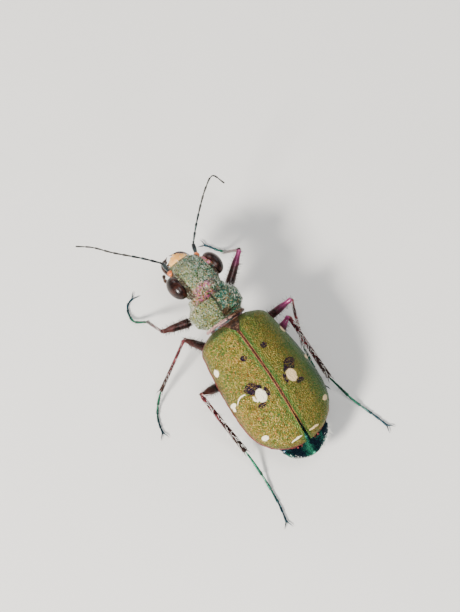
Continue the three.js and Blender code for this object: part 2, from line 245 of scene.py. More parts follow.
def mend_normals(piece: Piece) -> Piece:
    """Merges doubled points and turns every face outwards.

    Args:
        piece: The object to mend.

    Returns:
        The same piece.
    """
    pick(piece)
    bpy.ops.object.mode_set(mode="EDIT")
    bpy.ops.mesh.select_all(action="SELECT")
    bpy.ops.mesh.remove_doubles(threshold=1e-5)
    bpy.ops.mesh.normals_make_consistent(inside=False)
    bpy.ops.object.mode_set(mode="OBJECT")
    return piece


def join(pieces: Sequence[Piece]) -> Piece:
    """Joins several pieces into the first.

    Args:
        pieces: The objects to join.

    Returns:
        The joined object.
    """
    pick(pieces[0])
    for piece in pieces:
        piece.select_set(True)
    if len(pieces) > 1:
        bpy.ops.object.join()
    return bpy.context.object


def seat(piece: Piece, matrix: Matrix) -> Piece:
    """Moves a piece by a matrix and leaves its object at the origin.

    Args:
        piece: The object to move.
        matrix: From its present frame to the new one.

    Returns:
        The same piece.
    """
    piece.data.transform(matrix)
    if matrix.determinant() < 0:
        piece.data.flip_normals()
    return piece


def finish_piece(
    piece: Piece,
    name: str,
    matrix: Matrix,
    materials: Sequence[Material],
    nodes: Sequence[str],
    sharp: float = 60,
) -> Piece:
    """Places, names, smooths and dresses a piece, and hides the solids that it stands for.

    Args:
        piece: The modelled object.
        name: Its name.
        matrix: From its own frame to metres in the row frame.
        materials: One for each material index that its faces use.
        nodes: The solids that it replaces.
        sharp: The angle, in degrees, past which an edge stays sharp.

    Returns:
        The same piece.
    """
    seat(piece, matrix)
    pick(piece)
    bpy.ops.object.shade_smooth_by_angle(angle=math.radians(sharp))
    piece.name = name
    piece.data.name = name
    slots = piece.data.materials
    for index, material in enumerate(materials):
        if index < len(slots):
            slots[index] = material
        else:
            slots.append(material)
    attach(piece, "root")
    if nodes:
        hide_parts(*nodes)
    log.info("%s: %d faces", name, len(piece.data.polygons))
    return piece


def paint(piece: Piece, materials: Sequence[Material], index: int) -> Piece:
    """Gives a part the materials of the whole that it joins, and one of them to all its faces.

    Args:
        piece: The part.
        materials: The whole's materials.
        index: The one that the part shows.

    Returns:
        The same part.
    """
    for material in materials:
        piece.data.materials.append(material)
    for face in piece.data.polygons:
        face.material_index = index
    return piece


# Shapes shared by many pieces


def ease(share: Array) -> Array:
    """Sets rings close together at both ends.

    Args:
        share: Even shares from 0 to 1.

    Returns:
        The eased shares.
    """
    return (1 - np.cos(np.pi * share)) / 2


def smooth(value: Array, low: float, high: float) -> Array:
    """A smooth step from 0 at low to 1 at high.

    Args:
        value: Where to read the step.
        low: Where it starts.
        high: Where it ends.

    Returns:
        The step at each value.
    """
    t = np.clip((value - low) / (high - low), 0, 1)
    return t * t * (3 - 2 * t)


def profile(stops: Stops, share: Array) -> Array:
    """Reads a value along smooth steps between stops.

    Args:
        stops: Pairs of share and value.
        share: Where to read them.

    Returns:
        The value at each share.
    """
    share = np.asarray(share, float)
    value = np.full(share.shape, stops[0][1], float)
    for (a, va), (b, vb) in zip(stops, stops[1:]):
        value = value + (vb - va) * smooth(share, a, b)
    return value


def bump(value: Array, at: float, wide: float) -> Array:
    """A rounded ridge of height 1.

    Args:
        value: Where to read it.
        at: Its middle.
        wide: Its half width.

    Returns:
        The height at each value.
    """
    return np.exp(-(((value - at) / wide) ** 2))


def bent(value: Array, power: float) -> Array:
    """The signed power that makes a round squarer.

    Args:
        value: A cosine or sine.
        power: Below 1 is squarer.

    Returns:
        The bent value.
    """
    return np.sign(value) * np.abs(value) ** power


@dataclass
class Torso:
    """A form along Y, with its half width, top and bottom read from functions of the share along it."""

    start: float
    end: float
    width: Rule
    top: Rule
    bottom: Rule
    sides: int = 96
    rings: int = 48
    squareness: float = 0.85
    relief: Callable[[Array, Array, Array], Array] | None = None

    def build(self) -> Piece:
        """Draws a drum out into the form.

        Returns:
            The closed form.
        """
        return mend_normals(reshape(drum(self.sides, self.rings), self.place))

    def place(self, points: Array) -> Array:
        """The places of a unit drum's points.

        Args:
            points: The drum's points.

        Returns:
            The points on the form.
        """
        share = ease(points[:, 2])
        round_ = np.arctan2(points[:, 1], points[:, 0])
        rise = bent(np.sin(round_), self.squareness)
        top = self.top(share)
        level = np.minimum(0, top - 0.25)
        reach = np.where(rise > 0, top - level, level - self.bottom(share))
        x = self.width(share) * bent(np.cos(round_), self.squareness)
        z = level + reach * rise
        y = self.start + (self.end - self.start) * share
        if self.relief:
            grow = 1 + self.relief(share, x, z)
            x = x * grow
            z = level + (z - level) * grow
        return np.stack([x, y, z], axis=1)


def between(time: Array, start: float, end: float, a: Array, b: Array) -> Array:
    """The points between two others, by time.

    Args:
        time: Where to read them.
        start: The time of the first.
        end: The time of the second.
        a: The first point.
        b: The second point.

    Returns:
        One point for each time.
    """
    return (end - time) / (end - start) * a + (time - start) / (end - start) * b


def rounded_path(points: Sequence[Sequence[float]], shares: Array) -> tuple[Array, Array]:
    """Follows a smooth line through points.

    Args:
        points: The points that it passes.
        shares: Where to read it, by length from 0 to 1.

    Returns:
        The places and the directions at the shares.
    """
    knots = np.asarray(points, float)
    ends = np.vstack([2 * knots[0] - knots[1], knots, 2 * knots[-1] - knots[-2]])
    gaps = np.maximum(np.linalg.norm(np.diff(ends, axis=0), axis=1), 1e-9) ** 0.5
    times = np.concatenate([[0], np.cumsum(gaps)])
    dense = []
    for k in range(1, len(ends) - 2):
        t0, t1, t2, t3 = times[k - 1 : k + 3]
        t = np.linspace(t1, t2, 24, endpoint=k == len(ends) - 3)[:, None]
        p0, p1, p2, p3 = ends[k - 1 : k + 3]
        a1 = between(t, t0, t1, p0, p1)
        a2 = between(t, t1, t2, p1, p2)
        a3 = between(t, t2, t3, p2, p3)
        b1 = between(t, t0, t2, a1, a2)
        b2 = between(t, t1, t3, a2, a3)
        dense.append(between(t, t1, t2, b1, b2))
    line = np.vstack(dense)
    run = np.concatenate([[0], np.cumsum(np.linalg.norm(np.diff(line, axis=0), axis=1))])
    run /= run[-1]

    def read(at: Array) -> Array:
        """The places at some shares."""
        return np.stack([np.interp(at, run, line[:, i]) for i in range(3)], axis=1)

    way = read(np.minimum(1, shares + 0.01)) - read(np.maximum(0, shares - 0.01))
    return read(shares), way / np.linalg.norm(way, axis=1)[:, None]


def scaled(stops: Stops, factor: float) -> Stops:
    """Stops with their values times a factor.

    Args:
        stops: Pairs of share and value.
        factor: What the values are multiplied by.

    Returns:
        The new stops.
    """
    return tuple((share, factor * value) for share, value in stops)


def on_side(side: int, points: Sequence[Point]) -> list[Point]:
    """Mirrors points of the left side onto a side.

    Args:
        side: 1 for left and -1 for right.
        points: The left side's points.

    Returns:
        The points on that side.
    """
    return [(side * x, y, z) for x, y, z in points]


@dataclass
class Limb:
    """A rod along a smooth line through points, with its radius read from stops."""

    points: Sequence[Sequence[float]]
    radii: Stops
    sides: int = 16
    rings: int = 20
    flatness: float = 1.0

    def build(self) -> Piece:
        """Draws a drum out along the line.

        Returns:
            The closed rod.
        """
        return mend_normals(reshape(drum(self.sides, self.rings), self.place))

    def place(self, points: Array) -> Array:
        """The places of a unit drum's points.

        Args:
            points: The drum's points.

        Returns:
            The points on the rod.
        """
        share = ease(points[:, 2])
        middle, way = rounded_path(self.points, share)
        across = np.cross(np.array([[0.0, 0.0, 1.0]]), way)
        short = np.linalg.norm(across, axis=1) < 1e-3
        across[short] = np.cross(np.array([[0.0, 1.0, 0.0]]), way[short])
        across /= np.linalg.norm(across, axis=1)[:, None]
        over = np.cross(way, across)
        radius = profile(self.radii, share)
        round_ = np.arctan2(points[:, 1], points[:, 0])
        x = (radius * np.cos(round_))[:, None]
        y = (radius * self.flatness * np.sin(round_))[:, None]
        return middle + x * across + y * over


def ellipsoid(centre: Point, size: Point, detail: int = 24) -> Piece:
    """Adds a ball and draws it out to an ellipsoid.

    Args:
        centre: Its middle.
        size: Its half sizes.
        detail: Rings from pole to pole.

    Returns:
        The ellipsoid.
    """
    rest_tools()
    bpy.ops.mesh.primitive_uv_sphere_add(segments=detail * 2, ring_count=detail, radius=1)
    ball = bpy.context.object
    return reshape(ball, lambda points: points * np.array(size) + np.array(centre))


# Shader maths


class Sock:
    """A shader value that takes part in Python expressions."""

    def __init__(self, kit: "Kit", socket: bpy.types.NodeSocket) -> None:
        self.kit = kit
        self.socket = socket

    def __add__(self, other: "Sock | float") -> "Sock":
        """Adds a value."""
        return self.kit.maths("ADD", self, other)

    def __sub__(self, other: "Sock | float") -> "Sock":
        """Takes a value away."""
        return self.kit.maths("SUBTRACT", self, other)

    def __mul__(self, other: "Sock | float") -> "Sock":
        """Multiplies by a value."""
        return self.kit.maths("MULTIPLY", self, other)

    def __truediv__(self, other: "Sock | float") -> "Sock":
        """Divides by a value."""
        return self.kit.maths("DIVIDE", self, other)

    def __pow__(self, other: "Sock | float") -> "Sock":
        """Raises to a power."""
        return self.kit.maths("POWER", self, other)

    def __abs__(self) -> "Sock":
        """Takes away its sign."""
        return self.kit.maths("ABSOLUTE", self)

    def __radd__(self, other: float) -> "Sock":
        """Adds to a number."""
        return self.kit.maths("ADD", other, self)

    def __rsub__(self, other: float) -> "Sock":
        """Takes from a number."""
        return self.kit.maths("SUBTRACT", other, self)

    def __rmul__(self, other: float) -> "Sock":
        """Multiplies a number."""
        return self.kit.maths("MULTIPLY", other, self)


class Kit:
    """Makes one material's nodes."""

    def __init__(self, name: str) -> None:
        """Starts an empty material.

        Args:
            name: The material's name.
        """
        self.material = bpy.data.materials.new(name)
        self.material.use_nodes = True
        self.tree = self.material.node_tree
        self.tree.nodes.clear()

    def node(self, kind: str, settings: dict | None = None, inputs: dict | None = None) -> bpy.types.Node:
        """Makes one node, sets it and fills its sockets.

        Args:
            kind: The node's type, without its Shader prefix.
            settings: Its properties.
            inputs: Values or links by socket name or number.

        Returns:
            The node.
        """
        node = self.tree.nodes.new("ShaderNode" + kind)
        for name, value in (settings or {}).items():
            setattr(node, name, value)
        for name, value in (inputs or {}).items():
            socket = node.inputs[name]
            if isinstance(value, Sock):
                self.tree.links.new(value.socket, socket)
            elif isinstance(value, tuple) and len(value) == 3 and socket.type == "RGBA":
                socket.default_value = (*value, 1)
            else:
                socket.default_value = value
        return node

    def out(self, node: bpy.types.Node, name: str | int = 0) -> Sock:
        """Wraps a node's output."""
        return Sock(self, node.outputs[name])

    def maths(self, operation: str, a: Sock | float, b: Sock | float = 0.0) -> Sock:
        """Adds one Math node.

        Args:
            operation: What it does.
            a: The first value.
            b: The second value.

        Returns:
            The result.
        """
        return self.out(self.node("Math", {"operation": operation}, {0: a, 1: b}))

    def step(self, value: Sock, low: float, high: float) -> Sock:
        """A smooth step from 0 at low to 1 at high, which may run either way.

        Args:
            value: Where to read it.
            low: Where it is 0.
            high: Where it is 1.

        Returns:
            The step.
        """
        settings = {"interpolation_type": "SMOOTHSTEP"}
        ends = {"Value": value, "From Min": min(low, high), "From Max": max(low, high)}
        if low > high:
            ends.update({"To Min": 1.0, "To Max": 0.0})
        return self.out(self.node("MapRange", settings, ends))

    def mix(self, factor: Sock | float, a: Sock | Colour, b: Sock | Colour) -> Sock:
        """Mixes two colours.

        Args:
            factor: 0 for the first and 1 for the second.
            a: The first colour.
            b: The second colour.

        Returns:
            The mixed colour.
        """
        return self.out(self.node("Mix", {"data_type": "RGBA"}, {0: factor, 6: a, 7: b}), 2)

    def wash(self, ground: Sock, *washes: tuple[Sock, Sock | Colour]) -> Sock:
        """Lays colours over a ground, one after another.

        Args:
            ground: The colour under them.
            washes: Pairs of share and colour.

        Returns:
            The washed colour.
        """
        for share, tint in washes:
            ground = self.mix(share, ground, tint)
        return ground

    def place(self, matrix: Matrix) -> Sock:
        """The shaded point in millimetres in the frame that a matrix leads from.

        Args:
            matrix: From that frame to metres in the row frame.

        Returns:
            The point as a vector.
        """
        here = self.out(self.node("TexCoord"), "Object")
        back = matrix.inverted()
        rows = {}
        for i in range(3):
            row = self.node("VectorMath", {"operation": "DOT_PRODUCT"}, {0: here, 1: back[i][:3]})
            rows[i] = self.out(row, "Value") + back[i][3]
        return self.out(self.node("CombineXYZ", None, rows))

    def split(self, vector: Sock) -> tuple[Sock, Sock, Sock]:
        """Parts a vector into its three values."""
        node = self.node("SeparateXYZ", None, {0: vector})
        return self.out(node, 0), self.out(node, 1), self.out(node, 2)

    def noise(self, vector: Sock, scale: float, detail: float = 3.0, rough: float = 0.55) -> Sock:
        """Even noise from 0 to 1, with its grain in waves for each millimetre."""
        inputs = {"Vector": vector, "Scale": scale, "Detail": detail, "Roughness": rough}
        return self.out(self.node("TexNoise", None, inputs), 0)

    def cells(self, vector: Sock, scale: float, output: str = "Distance") -> Sock:
        """Cells, with their count for each millimetre.

        Args:
            vector: The point.
            scale: Cells for each millimetre.
            output: What is read in them.

        Returns:
            That output.
        """
        return self.out(self.node("TexVoronoi", None, {"Vector": vector, "Scale": scale}), output)

    def draws(self, vector: Sock, scale: float) -> tuple[Sock, Sock, Sock]:
        """Three random values for each cell.

        Args:
            vector: The point.
            scale: Cells for each millimetre.

        Returns:
            The values, from 0 to 1.
        """
        node = self.node("SeparateColor", None, {0: self.cells(vector, scale, "Color")})
        return self.out(node, 0), self.out(node, 1), self.out(node, 2)

    def relief(self, height: Sock, depth: float) -> Sock:
        """Turns a height into a bumped normal.

        Args:
            height: From 0 to 1.
            depth: Its size in millimetres.

        Returns:
            The normal.
        """
        inputs = {"Height": height, "Distance": depth * MM, "Strength": 1.0}
        return self.out(self.node("Bump", None, inputs))

    def surface(self, **inputs: "Sock | float | Colour") -> Material:
        """Ends the material with one principled surface.

        Args:
            inputs: Its sockets by name, with _ for a space.

        Returns:
            The material.
        """
        named = {name.replace("_", " "): value for name, value in inputs.items()}
        self.node("OutputMaterial", None, {0: self.out(self.node("BsdfPrincipled", None, named))})
        return self.material


# Finishes


@dataclass(frozen=True)
class CaseFinish:
    """The wing cases: olive green, finely grained, with cream spots, copper edges, and painted shade on the
    right case and in the seam.
    """

    olive: Colour = (0.20, 0.155, 0.022)
    gold: Colour = (0.50, 0.37, 0.12)
    leaf: Colour = (0.085, 0.13, 0.02)
    brown: Colour = (0.13, 0.06, 0.014)
    emerald: Colour = (0.01, 0.085, 0.03)
    copper: Colour = (0.34, 0.085, 0.06)
    lit_copper: Colour = (0.50, 0.17, 0.06)
    ember: Colour = (0.42, 0.12, 0.04)
    shade: Colour = (0.06, 0.075, 0.014)
    flank: Colour = (0.008, 0.03, 0.016)
    seam_green: Colour = (0.03, 0.14, 0.03)
    seam_gap_shade: Colour = (0.02, 0.008, 0.008)
    under: Colour = (0.03, 0.012, 0.012)
    rim: Colour = (0.26, 0.05, 0.055)
    cream: Colour = (0.94, 0.84, 0.60)
    shaded_cream: Colour = (0.68, 0.49, 0.25)
    smudge: Colour = (0.014, 0.004, 0.02)

    def material(self) -> Material:
        """Builds the finish.

        Returns:
            The material.
        """
        kit = Kit("wing_case_grain")
        point = kit.place(BODY)
        x, y, z = kit.split(point)
        side = abs(x)
        wander = kit.noise(point, 1.1, 2.0) - 0.5
        ragged = kit.noise(point, 6.0, 3.0) - 0.5
        u = side + ragged * 0.14
        v = y + ragged * 0.14 + wander * 0.06
        grain, spark, tint = kit.draws(point, 17.0)
        drift = kit.noise(point, 0.6, 3.0)
        ground = kit.mix(kit.step(drift + (tint - 0.5) * 0.5, 0.35, 0.65), self.leaf, self.olive)
        hind = kit.step(y, 7.9, 8.25) * kit.step(x, -0.2, 0.1)
        parting = side - kit.step(y, 6.4, 7.8) * 0.06
        ridge = kit.step(side + ragged * 0.03, 0.12, 0.07) * (0.6 + grain * 0.3)
        ground = kit.wash(
            ground,
            (kit.step(grain, 0.45, 0.15) * 0.7, self.brown),
            (kit.step(tint, 0.3, 0.1) * 0.7, self.emerald),
            (kit.step(spark, 0.55, 0.95) * 0.55, self.gold),
            (kit.step(tint, 0.9, 0.96) * 0.6, self.ember),
            (kit.step(y + wander * 1.4, 0.9, -0.1) * 0.6, self.emerald),
            # Painted shade on the right case: darker olive over its right half, then emerald, then near
            # black on its flank.
            (kit.step(x + wander * 0.6, 0.2, -0.4) * 0.4, self.shade),
            (kit.step(x + wander * 0.8, -1.5, -2.6) * 0.7, self.emerald),
            (kit.step(x + wander * 0.3, -2.3, -2.8) * 0.75, self.flank),
            (kit.step(side + wander * 0.2, 0.5, 0.1) * 0.65, self.seam_green),
            (ridge, kit.mix(kit.step(y, 5.8, 7.0), self.copper, self.lit_copper)),
            # Painted shade in the gap between the cases, wider where the seam opens at the tip.
            (kit.step(parting, 0.045, 0.025), self.seam_gap_shade),
            (kit.step(z + ragged * 0.05 - hind * 0.1, 0.2, 0.12), self.rim),
            (kit.step(z, 0.03, -0.03), self.under),
        )
        place = (u, v, z)
        smudges = self.smudges(kit, place, grain)
        ground = kit.mix(smudges, ground, self.smudge)
        spots = self.spots(kit, place, x)
        # The marks are cream on the left case; on the right case they are a darker tan, a painted shade of
        # the same cream.
        colour = kit.mix(spots, ground, kit.mix(kit.step(x, 0.2, -0.2), self.cream, self.shaded_cream))
        pits = kit.cells(point, 13.0)
        fine = kit.noise(point, 30.0, 2.0)
        return kit.surface(
            Base_Color=colour,
            Metallic=(1 - spots) * 0.9,
            Roughness=0.27 + grain * 0.22 + spots * 0.2,
            Normal=kit.relief(pits + fine * 0.35, 0.05),
        )

    def spot(self, kit: Kit, place: tuple[Sock, Sock, Sock], at: Point, size: Point) -> Sock:
        """One oval of value 1 with a slightly soft edge."""
        total = None
        for value, middle, reach in zip(place, at, size):
            part = ((value - middle) / reach) ** 2.0
            total = part if total is None else total + part
        return kit.step(total, 1.2, 0.8)

    def gather(self, kit: Kit, place: tuple[Sock, Sock, Sock], marks: Sequence[tuple[Point, Point]]) -> Sock:
        """The largest of several ovals."""
        total = None
        for at, size in marks:
            mark = self.spot(kit, place, at, size)
            total = mark if total is None else kit.maths("MAXIMUM", total, mark)
        return total

    def spots(self, kit: Kit, place: tuple[Sock, Sock, Sock], x: Sock) -> Sock:
        """The cream marks: the same ones on both sides, and the left side's fine line and tail."""
        both = (
            ((1.14, 4.76, 1.7), (0.32, 0.42, 1.0)),
            ((2.5, 2.08, 0.85), (0.24, 0.23, 0.27)),
            ((2.72, 4.3, 0.72), (0.26, 0.15, 0.38)),
            ((2.24, 7.0, 0.72), (0.26, 0.17, 0.22)),
            ((0.64, 8.12, 0.7), (0.38, 0.055, 0.6)),
        )
        left = (
            ((2.8, 4.52, 0.6), (0.12, 0.14, 0.2)),
            ((1.42, 4.9, 1.6), (0.18, 0.1, 1.0)),
            ((1.6, 4.72, 1.6), (0.07, 0.2, 1.0)),
        )
        v = place[1]
        alone = kit.step(x, 0.0, 0.1)
        arch = (x - 2.12) * (x - 2.12) * 1.6 + 4.12
        reach = kit.step(x, 1.86, 1.94) * kit.step(x, 2.6, 2.5)
        thread = kit.step(abs(v - arch), 0.055, 0.025) * reach
        own = kit.maths("MAXIMUM", thread, self.gather(kit, place, left)) * alone
        return kit.maths("MAXIMUM", self.gather(kit, place, both), own)

    def smudges(self, kit: Kit, place: tuple[Sock, Sock, Sock], grain: Sock) -> Sock:
        """The dark stains beside the marks, broken up by the grain."""
        stains = (
            ((1.45, 4.02, 1.7), (0.42, 0.28, 1.5)),
            ((1.25, 4.3, 1.7), (0.44, 0.24, 1.5)),
            ((1.4, 5.28, 1.6), (0.3, 0.15, 1.5)),
            ((0.72, 4.75, 1.8), (0.14, 0.32, 1.5)),
            ((0.76, 2.3, 1.8), (0.22, 0.19, 1.5)),
        )
        return self.gather(kit, place, stains) * kit.step(grain, 0.0, 0.5)


@dataclass(frozen=True)
class PlateFinish:
    """The wrinkled plates of the head and the prothorax: green with painted pale grey glints, and copper in
    their grooves.
    """

    name: str
    matrix: Matrix
    green: Colour = (0.06, 0.14, 0.05)
    yellow: Colour = (0.26, 0.26, 0.09)
    grey: Colour = (0.42, 0.46, 0.34)
    shade_teal: Colour = (0.016, 0.075, 0.055)
    dark: Colour = (0.02, 0.022, 0.018)
    copper: Colour = (0.60, 0.24, 0.10)
    rose: Colour = (0.50, 0.08, 0.25)
    turquoise: Colour = (0.02, 0.20, 0.19)
    rim_rose: Colour = (0.62, 0.25, 0.30)
    rim_copper: Colour = (0.72, 0.50, 0.44)
    rim_shade: Colour = (0.13, 0.05, 0.03)
    cheek_shade: Colour = (0.05, 0.022, 0.018)
    pit_shade: Colour = (0.06, 0.026, 0.012)
    grooves: tuple[tuple[float, float], ...] = ()
    rims: tuple[tuple[float, float], ...] = ()
    cheek: float = 0.0
    middle_line: float = 0.0
    pit: tuple[float, float] | None = None
    pale: float = 0.5

    def material(self) -> Material:
        """Builds the finish.

        Returns:
            The material.
        """
        kit = Kit(self.name)
        point = kit.place(self.matrix)
        x, y, z = kit.split(point)
        wander = kit.noise(point, 2.0, 3.0) - 0.5
        grain, glint, tint = kit.draws(point, 17.0)
        # Painted light and shade by side: lit yellow-green on the left, dark teal shade on the right.
        colour = kit.mix(kit.step(x + wander * 1.6, -0.6, 0.8), self.shade_teal, self.yellow)
        colour = kit.wash(
            colour,
            (kit.step(tint, 0.35, 0.75) * 0.7, self.green),
            (kit.step(grain, 0.3, 0.1) * 0.8, self.dark),
            # Painted highlights: pale grey glints on random cells, as many as pale sets.
            (kit.step(glint, 1 - self.pale, 1 - self.pale * 0.4) * 0.8, self.grey),
            (kit.step(tint, 0.9, 0.96) * 0.55, self.copper),
            (kit.step(tint, 0.14, 0.08) * 0.6, self.turquoise),
        )
        for at, wide in self.grooves:
            near = kit.step(abs(y - at + wander * 0.3), wide, wide * 0.3)
            blush = kit.mix(kit.step(tint, 0.55, 0.75), self.rose, self.copper)
            # Painted shade: the groove's colour turns dark on its right half.
            blush = kit.mix(kit.step(x + wander * 0.9, 0.0, -0.4) * 0.85, blush, self.dark)
            middle = kit.step(abs(x - 0.2 + wander), 1.1, 0.5)
            colour = kit.mix(near * middle * kit.step(grain, 0.3, 0.55) * 0.9, colour, blush)
        for at, wide in self.rims:
            near = kit.step(abs(y - at + wander * 0.12), wide, wide * 0.5)
            lit = kit.mix(kit.step(tint, 0.3, 0.7), self.rim_rose, self.rim_copper)
            blush = kit.mix(kit.step(x + wander, -0.3, 0.3), self.rim_shade, lit)
            colour = kit.mix(near * 0.85, colour, blush)
        if self.middle_line:
            near = kit.step(abs(x + wander * 0.1), self.middle_line, self.middle_line * 0.3)
            colour = kit.mix(near * 0.8, colour, self.dark)
        if self.cheek:
            aside = kit.step(abs(x), self.cheek - 0.12, self.cheek)
            blush = kit.mix(kit.step(tint, 0.4, 0.6), self.copper, self.rose)
            ahead = kit.step(y, -0.35, -0.6) * kit.step(x, 0.0, -0.2)
            blush = kit.mix(ahead, self.cheek_shade, blush)
            colour = kit.mix(aside * kit.step(grain, 0.1, 0.35) * 0.9, colour, blush)
        # A painted shadow: a dark brown patch where a pit lies near the rear rim.
        if self.pit:
            apart = ((x - self.pit[0]) / 0.36) ** 2.0 + ((y - self.pit[1]) / 0.26) ** 2.0
            colour = kit.mix(kit.step(apart + wander, 1.2, 0.5) * 0.8, colour, self.pit_shade)
        # Painted shade: the plates turn dark teal towards the bottom.
        colour = kit.mix(kit.step(z, -0.3, -0.8) * 0.7, colour, self.shade_teal)
        wrinkle = kit.cells(point, 15.0) + kit.noise(point, 12.0, 3.0) * 0.8
        return kit.surface(
            Base_Color=colour,
            Metallic=0.88,
            Roughness=0.24 + grain * 0.22,
            Normal=kit.relief(wrinkle, 0.06),
        )


@dataclass(frozen=True)
class EyeFinish:
    """The eyes: almost black, glossy, in very fine facets."""

    dark: Colour = (0.006, 0.002, 0.0015)
    brown: Colour = (0.035, 0.010, 0.006)

    def material(self) -> Material:
        """Builds the finish.

        Returns:
            The material.
        """
        kit = Kit("eye_facets")
        point = kit.place(HEAD)
        cloud = kit.noise(point, 2.5, 2.0)
        colour = kit.mix(kit.step(cloud, 0.4, 0.7), self.dark, self.brown)
        facets = kit.cells(point, 26.0)
        return kit.surface(
            Base_Color=colour,
            Roughness=0.2 + facets * 0.12,
            Normal=kit.relief(facets, 0.005),
            Coat_Weight=0.2,
            Coat_Roughness=0.04,
            Specular_IOR_Level=0.2,
        )


@dataclass(frozen=True)
class ShellFinish:
    """A plain horny surface: a ground and a glint that change along it, with fine pits."""

    name: str
    ground: Colour
    glint: Colour
    tip: Colour | None = None
    blend: tuple[float, float] = (0.35, 0.85)
    rear: tuple[Colour, Colour, float] | None = None
    metal: float = 0.6
    rough: float = 0.3
    pits: float = 14.0
    depth: float = 0.012
    share: float = 0.5
    coat: float = 0.25
    gleam: Colour = (0.05, 0.36, 0.20)

    def material(self) -> Material:
        """Builds the finish.

        Returns:
            The material.
        """
        kit = Kit(self.name)
        point = kit.place(BODY)
        cloud = kit.noise(point, 1.6, 3.0)
        speck = kit.draws(point, self.pits)[0]
        low = 0.5 + 0.25 * (0.5 - self.share)
        share = kit.step(cloud + (speck - 0.5) * 0.25, low - 0.1, low + 0.12)
        colour = kit.mix(share, self.ground, self.glint)
        if self.tip:
            along = kit.out(kit.node("Attribute", {"attribute_name": "along"}), "Fac")
            start, end = self.blend
            colour = kit.mix(kit.step(along + (cloud - 0.5) * 0.3, start, end), colour, self.tip)
        if self.rear:
            ground, glint, start = self.rear
            behind = kit.step(kit.split(point)[1] + cloud * 0.6, start, start + 0.7)
            patch = kit.mix(kit.step(cloud + (speck - 0.5) * 0.1, 0.45, 0.65), ground, glint)
            gleam = kit.step(abs(kit.split(point)[0] - 0.15 + (cloud - 0.5)), 0.3, 0.08)
            patch = kit.mix(gleam * 0.8, patch, self.gleam)
            colour = kit.mix(behind, colour, patch)
        pits = kit.cells(point, self.pits)
        return kit.surface(
            Base_Color=colour,
            Metallic=self.metal,
            Roughness=self.rough + speck * 0.15,
            Normal=kit.relief(pits + kit.noise(point, 20.0, 2.0) * 0.5, self.depth),
            Coat_Weight=self.coat,
            Coat_Roughness=0.15,
        )


def shell(name: str, *tones: Colour | tuple[float, float], **settings: object) -> Material:
    """Makes one horny material.

    Args:
        name: Its name.
        tones: Its ground and glint, and where a tip differs, that colour and where it blends.
        settings: The finish's other values.

    Returns:
        The material.
    """
    return ShellFinish(name, *tones, **settings).material()


class Finishes:
    """Every material, made once."""

    def __init__(self) -> None:
        """Builds them all."""
        self.case = CaseFinish().material()
        self.prothorax = PlateFinish(
            "prothorax_wrinkles",
            BODY,
            grooves=((-2.24, 0.32),),
            rims=((-0.3, 0.16),),
            middle_line=0.1,
            pit=(-0.25, -0.72),
            pale=0.32,
        ).material()
        self.head = PlateFinish(
            "head_wrinkles", HEAD, grooves=((0.45, 0.34),), cheek=1.0, pale=0.55
        ).material()
        self.eye = EyeFinish().material()
        self.lip = shell(
            "lip_horn", (0.80, 0.36, 0.07), (0.92, 0.52, 0.16), metal=0.0, rough=0.5, depth=0.006, coat=0.0
        )
        self.jaw = shell(
            "jaw_horn", (0.02, 0.009, 0.007), (0.10, 0.035, 0.018), metal=0.1, rough=0.25, depth=0.006
        )
        self.copper = shell("copper_plate", (0.035, 0.02, 0.014), (0.20, 0.10, 0.06), metal=0.85)
        self.underside = shell(
            "underside_plate", (0.012, 0.035, 0.035), (0.09, 0.03, 0.035), metal=0.85, rough=0.28
        )
        rear = ((0.004, 0.016, 0.03), (0.012, 0.13, 0.09), 7.2)
        self.abdomen = shell(
            *("abdomen_plate", (0.012, 0.03, 0.035), (0.07, 0.03, 0.035)),
            **{"rear": rear, "metal": 0.9, "rough": 0.2, "depth": 0.01},
        )
        dark, red = (0.014, 0.007, 0.006), (0.07, 0.022, 0.02)
        # Towards the knee the right thighs turn magenta, a painted highlight; the left ones turn a faint
        # copper.
        self.thigh = {
            side: shell(f"thigh_plate_{SIDES[side]}", dark, red, tip, (0.62, 0.98), metal=0.7)
            for side, tip in ((1, (0.12, 0.04, 0.035)), (-1, (0.40, 0.06, 0.20)))
        }
        self.shin = shell(
            *("shin_plate", (0.04, 0.010, 0.012), (0.22, 0.045, 0.055), (0.035, 0.018, 0.015)),
            **{"metal": 0.85, "rough": 0.25, "share": 0.4},
        )
        self.foot = shell(
            *("foot_plate", (0.006, 0.05, 0.03), (0.02, 0.19, 0.10), (0.006, 0.035, 0.05)),
            **{"metal": 0.88, "rough": 0.26},
        )
        self.feeler_base = shell(
            "feeler_base_plate", (0.010, 0.013, 0.016), (0.03, 0.045, 0.045), metal=0.8, rough=0.24
        )
        down = {"metal": 0.1, "rough": 0.55, "pits": 24.0, "coat": 0.0}
        self.feeler = shell("feeler_down", (0.02, 0.02, 0.019), (0.045, 0.042, 0.036), **down)
        self.socket = shell("socket_skin", (0.5, 0.10, 0.02), (0.7, 0.2, 0.04), metal=0.1)
        plain = {"metal": 0.0, "rough": 0.45, "coat": 0.0, "depth": 0.001}
        self.hair = shell("white_hair", (0.78, 0.76, 0.70), (0.86, 0.85, 0.82), **plain)
        self.dark_hair = shell("dark_hair", (0.02, 0.012, 0.01), (0.05, 0.03, 0.022), **plain)


# Hairs


@dataclass
class Tuft:
    """One kind of hair: how long, how thick, how it leans and bends."""

    length: float
    thickness: float
    lean: float = 0.5
    curl: float = 0.25
    spread: float = 0.25
    vary: float = 0.35


